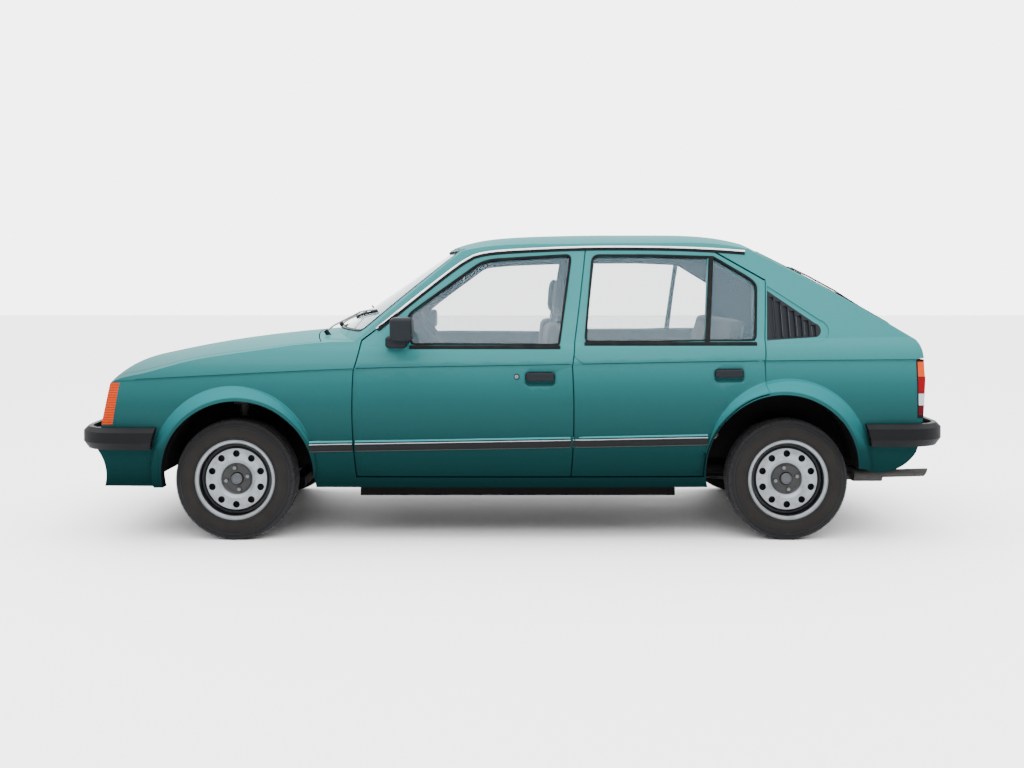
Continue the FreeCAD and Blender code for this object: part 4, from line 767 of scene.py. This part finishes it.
# Profile of the thin strip that paints the shadow under the crease.
CREASE_LINE = [(-0.0016, -0.002), (-0.0012, 0.0012), (0.0006, 0.0012), (0.0010, -0.002)]
CREASE_SEARCH = (0.69, 0.86)
CREASE_STEPS = 34
CREASE_HALVINGS = 8
CREASE_LEAST = 0.05
RAIL_LINE = ((-0.672, 0.918), (-0.466, 1.088), (-0.287, 1.230), (-0.206, 1.285), (-0.149, 1.308), (-0.020, 1.324),
             (0.335, 1.339), (0.691, 1.339), (0.928, 1.331), (1.085, 1.320))
RAIL_STEP = 0.03
RAIL_BRIGHT = [(-0.001, -0.004), (0.001, 0.010), (0.005, 0.012), (0.009, 0.009), (0.011, -0.004)]
RAIL_GROOVE = [(0.011, -0.004), (0.011, 0.006), (0.020, 0.003), (0.020, -0.004)]
SEAL = [(-0.003, -0.002), (-0.003, 0.009), (0.001, 0.0125), (0.007, 0.0120), (0.008, 0.008), (0.008, -0.002)]
SEAL_CORNERS = {"front": 0.030, "rear": 0.028}
SEAL_INSET = 0.004
BELT_SEAL = [(-0.006, -0.002), (-0.005, 0.005), (0.004, 0.006), (0.012, 0.001), (0.012, -0.004)]
BELT_MARGIN = 0.006
BELT_BAND = 0.012
DIVIDER = ((0.884, 0.903), (0.925, 1.291))
DIVIDER_BAR = [(-0.011, -0.004), (-0.011, 0.003), (-0.0066, 0.005), (0.0066, 0.005), (0.011, 0.003), (0.011, -0.004)]


def strip_height(x):
    return STRIP_MIDDLE + STRIP_SLOPE * x


def add_strips(side, sign):
    for host, fixed_body, start, end in STRIP_PARTS:
        label = host + "_" + side
        frames = side_frames(SIDE_TREES[side], sign, spread_line(start, end, strip_height))
        for layer, profile, material in STRIP_LAYERS:
            sweep(layer + label, frames, profile, material, fixed_body or label)


def crease_height(tree, side, x):
    """The height at which the skin turns from the steep lower side to the leaning shoulder."""
    turn, best, before = 0.0, None, None
    for z in steps_between(*CREASE_SEARCH, CREASE_STEPS):
        hit = on_side(tree, side, x, z)
        lean = hit[1].z if hit is not None else None
        if before is not None and lean is not None and lean - before > turn:
            turn, best = lean - before, z
        before = lean
    if best is None or turn < CREASE_LEAST:
        return None
    low, high = best - (CREASE_SEARCH[1] - CREASE_SEARCH[0]) / CREASE_STEPS, best
    foot = on_side(tree, side, x, low)[1].z
    for _ in range(CREASE_HALVINGS):
        middle = (low + high) / 2
        hit = on_side(tree, side, x, middle)
        if hit is not None and hit[1].z - foot < turn / 2:
            low = middle
        else:
            high = middle
    return high


def add_crease(side, sign):
    """A thin dark strip that paints the shadow under the shoulder, where the skin steps in."""
    tree = SIDE_TREES[side]
    for host, fixed_body, start, end in CREASE_PARTS:
        label = host + "_" + side
        places = steps_between(start, end, int((end - start) / LINE_STEP))
        line = [(x, z) for x, z in ((x, crease_height(tree, sign, x)) for x in places) if z is not None]
        if len(line) > 2:
            frames = side_frames(tree, sign, line)
            sweep("crease_shadow_line_" + label, frames, CREASE_LINE, crease_shadow_paint, fixed_body or label)


def add_rail(side, sign):
    line = bend_through([Vector(point) for point in RAIL_LINE], RAIL_STEP)
    frames = side_frames(SIDE_TREES[side], sign, line)
    sweep("drip_rail_" + side, frames, RAIL_BRIGHT, bright_metal, "body")
    sweep("drip_groove_" + side, frames, RAIL_GROOVE, seal_rubber, "body")


def add_seals(side, sign):
    """The rubber round each door's window, and the one along the window's foot."""
    for door, radius in SEAL_CORNERS.items():
        label = door + "_" + side
        pane = "glass_" + label
        tree = skin_tree([pane])
        loop = rounded_loop(pane, 0, radius)
        middle = Vector((sum(point.x for point in loop) / len(loop), sum(point.y for point in loop) / len(loop)))
        hits = []
        for point in loop:
            inside = point + (middle - point).normalized() * SEAL_INSET
            hit = on_side(tree, sign, inside.x, inside.y)
            if hit is not None:
                hits.append((Vector((point.x, hit[0].y, point.y)), hit[1]))
        path = []
        for index, (place, out) in enumerate(hits):
            way = (hits[(index + 1) % len(hits)][0] - hits[index - 1][0]).normalized()
            path.append((place, way.cross(out).normalized() * -sign, out))
        sweep("window_seal_" + label, path, SEAL, seal_rubber, "door_" + label, closed=True)
        outline = node_outline(pane, 0)
        foot = min(z for x, z in outline)
        ends = [x for x, z in outline if z < foot + BELT_BAND]
        line = spread_line(min(ends) - BELT_MARGIN, max(ends) + BELT_MARGIN, lambda x: foot - BELT_MARGIN)
        frames = side_frames(SIDE_TREES[side], sign, line)
        sweep("belt_seal_" + label, frames, BELT_SEAL, seal_rubber, "door_" + label)


def add_divider(side, sign):
    """The black bar between the rear door's two panes."""
    body = "door_rear_" + side
    frames = side_frames(skin_tree([body, "glass_rear_" + side]), sign, line_between(*DIVIDER))
    sweep("quarter_bar_" + side, frames, DIVIDER_BAR, seal_rubber, body)


HANDLES = {"front": (0.0585, 0.1944, 0.707, 0.773), "rear": (0.9085, 1.0440, 0.723, 0.786)}
RECESS_DEPTH = 0.022


def add_handle(door, side, sign):
    """A black pull in a recess that is cut out of the door skin."""
    x0, x1, z0, z1 = HANDLES[door]
    label = door + "_" + side
    body = "door_" + label
    place = on_side(SIDE_TREES[side], sign, (x0 + x1) / 2, (z0 + z1) / 2)[0]
    near, far = sorted((place.y - sign * RECESS_DEPTH, place.y + sign * 0.03))
    cutter = rounded_box("recess_" + label, (x0, near, z0), (x1, far, z1), 0.020, body_paint, body)
    cutter.hide_render = True
    cutter.hide_viewport = True
    recess = nodes[body].modifiers.new("recess", "BOOLEAN")
    recess.operation = "DIFFERENCE"
    recess.solver = "EXACT"
    recess.object = cutter
    low, high = sorted((place.y - sign * (RECESS_DEPTH - 0.006), place.y + sign * 0.004))
    rounded_box("pull_" + label, (x0 + 0.004, low, z0 + 0.022), (x1 - 0.004, high, z1 - 0.004), 0.008,
                trim_plastic, body)


LOCK_PLACE = (0.021, 0.750)
LOCK_DEPTH = 0.003
# The lock's slot is a small dark disc: painted shade for the key slot's hollow.
LOCK_PARTS = (("ring", 0.0025, 0.0125, black_plastic, 24), ("face", 0.004, 0.0085, bright_metal, 24),
              ("slot", 0.0045, 0.002, seal_rubber, 8))


def add_lock(side, sign):
    place, out = on_side(SIDE_TREES[side], sign, *LOCK_PLACE)
    for part, height, radius, material, count in LOCK_PARTS:
        tube(f"lock_{part}_{side}", [place - out * LOCK_DEPTH, place + out * height], radius, material,
             "door_front_" + side, count)


# Wheels: profiles are (out, radius)

wheel_low, wheel_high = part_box("tyre_front_left")
TYRE_RADIUS = (wheel_high.z - wheel_low.z) / 2
TYRE_HALF = (wheel_high.y - wheel_low.y) / 2
rim_low, rim_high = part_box("rim_front_left")
RIM_RADIUS = (rim_high.z - rim_low.z) / 2
TYRE_SEGMENTS = 540
TREAD_NOTCH = 3
NOTCH_DEPTH = 0.0045
SHOULDER_OUT = 0.037
SHOULDER_DROP = 0.020
TREAD_GROOVES = (0.036, 0.012, -0.012, -0.036)
TREAD_HALF = 0.003
TREAD_DEPTH = 0.006
PLATE_OUT = 0.0242
HUB_PLATE = [(PLATE_OUT, 0.029), (0.0264, 0.030), (0.0264, 0.062), (PLATE_OUT, 0.0635)]
CAP_RING = [(PLATE_OUT, 0.0245), (0.0302, 0.0255), (0.0302, 0.0285), (PLATE_OUT, 0.0290)]
HUB_CAP = [(PLATE_OUT, 0.0), (PLATE_OUT, 0.0258), (0.035, 0.0258), (0.0385, 0.0225), (0.039, 0.0195), (0.0378, 0.019),
           (0.0395, 0.012), (0.040, 0.0)]
BRAKE_DRUM = [(0.004, 0.032), (0.004, 0.139), (0.0, 0.142), (-0.012, 0.142), (-0.012, 0.032)]
BOLT_CIRCLE = 0.050
BOLT_ANGLE = math.radians(12)
BOLT_PARTS = (("bolt_seat", 0.004, 0.0105, hub_grey, 20), ("bolt", 0.011, 0.0086, bolt_steel, 6))


def tyre_profile():
    """Closed section of the tyre: beads, sidewalls with their rings, and the grooved tread."""
    wall = [(TYRE_HALF - 0.014, RIM_RADIUS - 0.004), (TYRE_HALF - 0.006, RIM_RADIUS + 0.005),
            (TYRE_HALF - 0.003, RIM_RADIUS + 0.010), (TYRE_HALF - 0.0045, RIM_RADIUS + 0.012),
            (TYRE_HALF - 0.001, RIM_RADIUS + 0.026), (TYRE_HALF, RIM_RADIUS + 0.044),
            (TYRE_HALF - 0.002, RIM_RADIUS + 0.058), (TYRE_HALF - 0.0005, RIM_RADIUS + 0.060),
            (TYRE_HALF - 0.0035, RIM_RADIUS + 0.064), (TYRE_HALF - 0.006, TYRE_RADIUS - 0.019),
            (TYRE_HALF - 0.011, TYRE_RADIUS - 0.009), (TYRE_HALF - 0.018, TYRE_RADIUS - 0.003)]
    tread = []
    for groove in TREAD_GROOVES:
        tread += [(groove + TREAD_HALF * share, TYRE_RADIUS - depth)
                  for share, depth in ((1, 0), (0.7, TREAD_DEPTH), (-0.7, TREAD_DEPTH), (-1, 0))]
    return wall + tread + [(-out, radius) for out, radius in reversed(wall)]


def tread_dent(step, out, radius):
    """Cross grooves in the tread's shoulders."""
    if step % TREAD_NOTCH == 0 and abs(out) > SHOULDER_OUT and radius > TYRE_RADIUS - SHOULDER_DROP:
        return radius - NOTCH_DEPTH
    return radius


def add_wheel(end, side, sign):
    corner = end + "_" + side
    body = "wheel_" + corner
    low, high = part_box("rim_" + corner)
    centre = (low + high) / 2
    lip = (high.y - low.y) / 2
    edge = [(lip - 0.002, RIM_RADIUS - 0.0065), (lip + 0.0008, RIM_RADIUS - 0.003),
            (lip + 0.0008, RIM_RADIUS + 0.0002), (lip - 0.002, RIM_RADIUS + 0.0006)]

    def ring(label, *shape):
        return turned(label + "_" + corner, centre, sign, *shape)

    tyre = ring("tyre_shape", tyre_profile(), tyre_paints[end], body, TYRE_SEGMENTS, tread_dent)
    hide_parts("tyre_" + corner)
    ring("hub_plate", HUB_PLATE, hub_grey, body)
    ring("cap_ring", CAP_RING, seal_rubber, body)
    ring("hub_cap", HUB_CAP, cap_grey, body, 48)
    for number in range(4):
        angle = BOLT_ANGLE + math.pi / 2 * number
        foot = centre + Vector((BOLT_CIRCLE * math.cos(angle), sign * PLATE_OUT, BOLT_CIRCLE * math.sin(angle)))
        for part, length, radius, material, count in BOLT_PARTS:
            tube(f"{part}_{corner}_{number}", [foot, foot + Vector((0, sign * length, 0))], radius, material, body,
                 count)
    ring("rim_edge", edge, bolt_steel, body, 128)
    ring("brake_drum", BRAKE_DRUM, drum_iron, body, 64)


# Louvres, wipers and screen seals

LOUVRE_EDGES = 6
LOUVRE_BORDER = 0.008
LOUVRE_LEAST = 0.015
LOUVRE_RIDGE = [(-0.0012, -0.002), (-0.0008, 0.002), (0.0008, 0.002), (0.0012, -0.002)]


def add_vent_ridges(side, sign):
    """Thin grey strips on the louvres' edges in the rear pillar: a painted highlight on the black vents."""
    low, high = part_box("side_vents")
    tree = skin_tree(["side_vents"])
    pitch = (high.x - low.x - 2 * LOUVRE_BORDER) / (LOUVRE_EDGES + 1)
    for number in range(1, LOUVRE_EDGES + 1):
        x = low.x + LOUVRE_BORDER + pitch * number
        foot = low.z + 0.014 + 0.05 * (x - low.x)
        head = high.z - 0.70 * (x - low.x) - 0.018
        if head - foot < LOUVRE_LEAST:
            continue
        frames = side_frames(tree, sign, line_between((x, foot), (x, head)))
        if len(frames) > 1:
            sweep(f"vent_ridge_{side}_{number}", frames, LOUVRE_RIDGE, ridge_grey, "body")


WIPER_X = -0.875
WIPERS = (("wiper_left", -0.46, ((-0.50, 1.035), (0.02, 0.985))),
          ("wiper_right", 0.06, ((-0.02, 1.045), (0.50, 1.000))))
REAR_WIPER_FOOT = (-0.06, 0.962)
REAR_WIPER_BLADE = ((-0.36, 1.205), (-0.02, 1.245))
SPINE_BOW = 0.010


def add_blade(name, tree, way, ends, height, lift, radius, material, body):
    """Rubber and bowed spine of a wiper between (y, z) points on the glass; returns the blade's middle."""
    line = [on_screen(tree, way, y, z) for y, z in line_between(*ends)]
    run = (line[-1][0] - line[0][0]).normalized()
    rubber = [(place, out.cross(run), out) for place, out in line]
    sweep(name + "_rubber", rubber, [(-0.002, 0.001), (-0.003, height), (0.003, height), (0.002, 0.001)],
          seal_rubber, body)
    spine = [place + out * (lift + SPINE_BOW * math.sin(math.pi * k / LINE_PARTS))
             for k, (place, out) in enumerate(line)]
    tube(name + "_spine", spine, radius, material, body, 8)
    return line[LINE_PARTS // 2]


def add_wipers():
    """The windscreen's wipers: blade, arm and pivot."""
    tree = skin_tree(["windscreen"])
    cowl = skin_tree(["bulkhead"])
    for name, pivot_y, ends in WIPERS:
        pivot = cowl.ray_cast(Vector((WIPER_X, pivot_y, 1.3)), Vector((0, 0, -1)))[0] + Vector((0, 0, 0.004))
        place, out = add_blade(name, tree, 1, ends, 0.010, 0.012, 0.0035, dull_metal, "body")
        joint = place + out * 0.022
        knee = pivot + (joint - pivot) * 0.25 + out * 0.018
        tube(name + "_arm", [pivot + out * 0.016, knee, joint], 0.0045, dull_metal, "body", 8)
        tube(name + "_pivot", [pivot - out * 0.012, pivot + out * 0.022], 0.011, black_plastic, "body", 20)


def add_rear_wiper():
    """Motor block, standing arm and blade of the tailgate's wiper."""
    tree = skin_tree(["tailgate_glass", "tailgate"])
    foot, out = on_screen(tree, -1, *REAR_WIPER_FOOT)
    up = Vector((0, 1, 0)).cross(out).normalized()
    if up.z < 0:
        up = -up
    tube("wiper_rear_foot", [foot - out * 0.004, foot + out * 0.022], 0.020, black_plastic, "tailgate", 24)
    tube("wiper_rear_knuckle", [foot + out * 0.018 - up * 0.012, foot + out * 0.022 + up * 0.045], 0.010,
         black_plastic, "tailgate", 16)
    place, normal = add_blade("wiper_rear", tree, -1, REAR_WIPER_BLADE, 0.011, 0.013, 0.0042, black_plastic,
                              "tailgate")
    joint = place + normal * 0.024
    start = foot + out * 0.024 + up * 0.040
    arm = [start + (joint - start) * share + out * 0.012 * math.sin(math.pi * share)
           for share in (0, 0.2, 0.5, 0.8, 1)]
    tube("wiper_rear_arm", arm, 0.0042, black_plastic, "tailgate", 8)


SCREEN_CORNER = 0.035
SCREEN_INSET = 0.006
SCREEN_SEAL = [(-0.006, -0.001), (-0.005, 0.005), (0.006, 0.010), (0.014, 0.011), (0.016, 0.006), (0.014, -0.002)]
SCREEN_INSERT = [(0.004, 0.0085), (0.006, 0.0118), (0.010, 0.0118), (0.011, 0.009)]


def add_screen_seal(node, way, body):
    """The rubber seal with its grey insert round a screen."""
    tree = skin_tree([node])
    loop = rounded_loop(node, 1, SCREEN_CORNER)
    middle = Vector((0, sum(point.y for point in loop) / len(loop)))
    hits = []
    for point in loop:
        inside = point + (middle - point).normalized() * SCREEN_INSET
        hits.append(on_screen(tree, way, inside.x, inside.y))
    path = []
    for index, (place, out) in enumerate(hits):
        run = (hits[(index + 1) % len(hits)][0] - hits[index - 1][0]).normalized()
        across = run.cross(out).normalized()
        if across.dot(place - Vector((place.x, middle.x, middle.y))) < 0:
            across = -across
        path.append((place, across, out))
    sweep(node + "_seal", path, SCREEN_SEAL, seal_rubber, body, closed=True)
    sweep(node + "_insert", path, SCREEN_INSERT, ridge_grey, body, closed=True)


# Soft seats

SQUARENESS = 3.2
CUSHION_POINTS = 40
CUSHION_ROWS = 22
RIB_HALF = 0.72
RIB_DEPTH = 0.004


def padded_form(name, stations, half_width_at_share, middle, bolster=0.0, ribs=0):
    """A cushion lofted along side-view stations of (x, z, half depth), facing its front side."""
    points = []
    last = len(stations) - 1
    for row, (x, z, depth) in enumerate(stations):
        before, after = stations[max(row - 1, 0)], stations[min(row + 1, last)]
        way = Vector((after[0] - before[0], 0, after[1] - before[1])).normalized()
        front = Vector((-way.z, 0, way.x))
        half = half_width_at_share(row / last)
        for c, s in circle(1, CUSHION_POINTS):
            across = half * math.copysign(abs(c) ** (2 / SQUARENESS), c)
            out = depth * math.copysign(abs(s) ** (2 / SQUARENESS), s)
            share = abs(across) / half
            if s > 0:
                out -= bolster * (1 - share ** 2) * math.sin(math.pi * row / last)
                if ribs and share < RIB_HALF:
                    out -= RIB_DEPTH * max(0.0, math.cos(ribs * math.pi * (across / half + 1))) ** 6
            points.append(Vector((x, middle + across, z)) + front * out)
    return make_piece(name, points, ring_faces(len(stations), CUSHION_POINTS, False), seat_cloth, "body")


def rounding(distance, reach):
    """A quarter circle's height at a distance from an edge, as a squared share."""
    return 1 - (1 - min(distance / reach, 1)) ** 2


def soft_stations(start, end, depth_start, depth_end, edge=0.035):
    """Stations from one end to the other, drawn in at both ends so that the form is rounded there."""
    start, end = Vector(start), Vector(end)
    length = (end - start).length
    stations = []
    for row in range(CUSHION_ROWS):
        share = 0.5 - 0.5 * math.cos(math.pi * row / (CUSHION_ROWS - 1))
        place = start + (end - start) * share
        depth = depth_start + (depth_end - depth_start) * share
        round_off = math.sqrt(max(rounding(min(share, 1 - share) * length, edge), 0.02))
        stations.append((place.x, place.y, depth * round_off))
    return stations


def drawn_in(half, edge_share):
    """Half width of a cushion, drawn in a little at both ends."""
    def width(share):
        return half * (0.93 + 0.07 * math.sqrt(max(rounding(min(share, 1 - share), edge_share), 0)))

    return width


def add_front_seat(side):
    node_name = "front_seat_" + side
    low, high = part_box(node_name)
    middle = (low.y + high.y) / 2
    half = (high.y - low.y) / 2
    x, foot = low.x, low.z
    cushion = padded_form("seat_cushion_" + side,
                          soft_stations((x + 0.012, foot + 0.075), (x + 0.535, foot + 0.055), 0.070, 0.052),
                          drawn_in(half, 0.10), middle, 0.012, 5)
    back = padded_form("seat_back_" + side,
                       soft_stations((x + 0.520, foot + 0.075), (x + 0.605, foot + 0.655), 0.052, 0.044),
                       drawn_in(half - 0.018, 0.12), middle, 0.014, 5)
    rest = padded_form("head_rest_" + side,
                       soft_stations((x + 0.623, foot + 0.695), (x + 0.634, foot + 0.868), 0.026, 0.023, 0.05),
                       drawn_in(0.128, 0.35), middle)
    for number, offset in enumerate((-0.06, 0.06)):
        rod = [(x + 0.612, middle + offset, foot + 0.62), (x + 0.628, middle + offset, foot + 0.72)]
        tube(f"head_rest_rod_{side}_{number}", rod, 0.006, bright_metal, "body")
    rounded_box("seat_base_" + side, (x + 0.03, middle - half + 0.03, foot - 0.001),
                (x + 0.52, middle + half - 0.03, foot + 0.045), 0.008, black_plastic, "body")
    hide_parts(node_name)


def add_rear_seat():
    low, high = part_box("rear_seat")
    half = (high.y - low.y) / 2
    cushion = padded_form("rear_cushion",
                          soft_stations((low.x + 0.005, low.z + 0.150), (low.x + 0.395, low.z + 0.205), 0.060, 0.045),
                          drawn_in(half, 0.06), 0.0, 0.006, 12)
    back = padded_form("rear_back",
                       soft_stations((low.x + 0.355, low.z + 0.215), (high.x - 0.062, high.z - 0.012), 0.052, 0.052),
                       drawn_in(half - 0.020, 0.08), 0.0, 0.006, 12)
    rounded_box("rear_seat_base", (low.x + 0.01, -half + 0.02, low.z), (low.x + 0.18, half - 0.02, low.z + 0.13),
                0.01, underbody, "body")
    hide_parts("rear_seat")


# Mirror feet and softened edges

MIRROR_FOOT = (-0.522, 0.902)
BEVEL_ANGLE = math.radians(24)


def add_mirror_foot(side, sign):
    """The dark knuckle that carries the door mirror."""
    x, z = MIRROR_FOOT
    place = on_side(SIDE_TREES[side], sign, x + 0.02, z - 0.02)[0]
    low, high = sorted((place.y - sign * 0.004, place.y + sign * 0.045))
    rounded_box("mirror_foot_" + side, (x - 0.048, low, z - 0.026), (x + 0.050, high, z + 0.030), 0.018,
                trim_plastic, "door_front_" + side)


def soften(name, width, segments):
    """Rounds a CAD node's hard edges."""
    bevel = nodes[name].modifiers.new("round", "BEVEL")
    bevel.width = width
    bevel.segments = segments
    bevel.limit_method = "ANGLE"
    bevel.angle_limit = BEVEL_ANGLE
    bevel.use_clamp_overlap = True


make_camera()
make_lights()
make_floor()
for node_material, node_names in NODE_MATERIALS:
    for node_name in node_names.split():
        dress(node_name, node_material)
for side_name, side_sign in SIDES:
    for add_side_part in (add_strips, add_crease, add_rail, add_seals, add_divider, add_lock, add_vent_ridges):
        add_side_part(side_name, side_sign)
    add_front_seat(side_name)
    add_mirror_foot(side_name, side_sign)
    soften("mirror_" + side_name, 0.016, 4)
    for door_name in ENDS:
        add_handle(door_name, side_name, side_sign)
    for axle_name in ENDS:
        add_wheel(axle_name, side_name, side_sign)
for bumper_name in ("front_bumper", "rear_bumper"):
    soften(bumper_name, 0.009, 3)
add_wipers()
add_rear_wiper()
add_screen_seal("windscreen", 1, "body")
add_screen_seal("tailgate_glass", -1, "tailgate")
add_rear_seat()
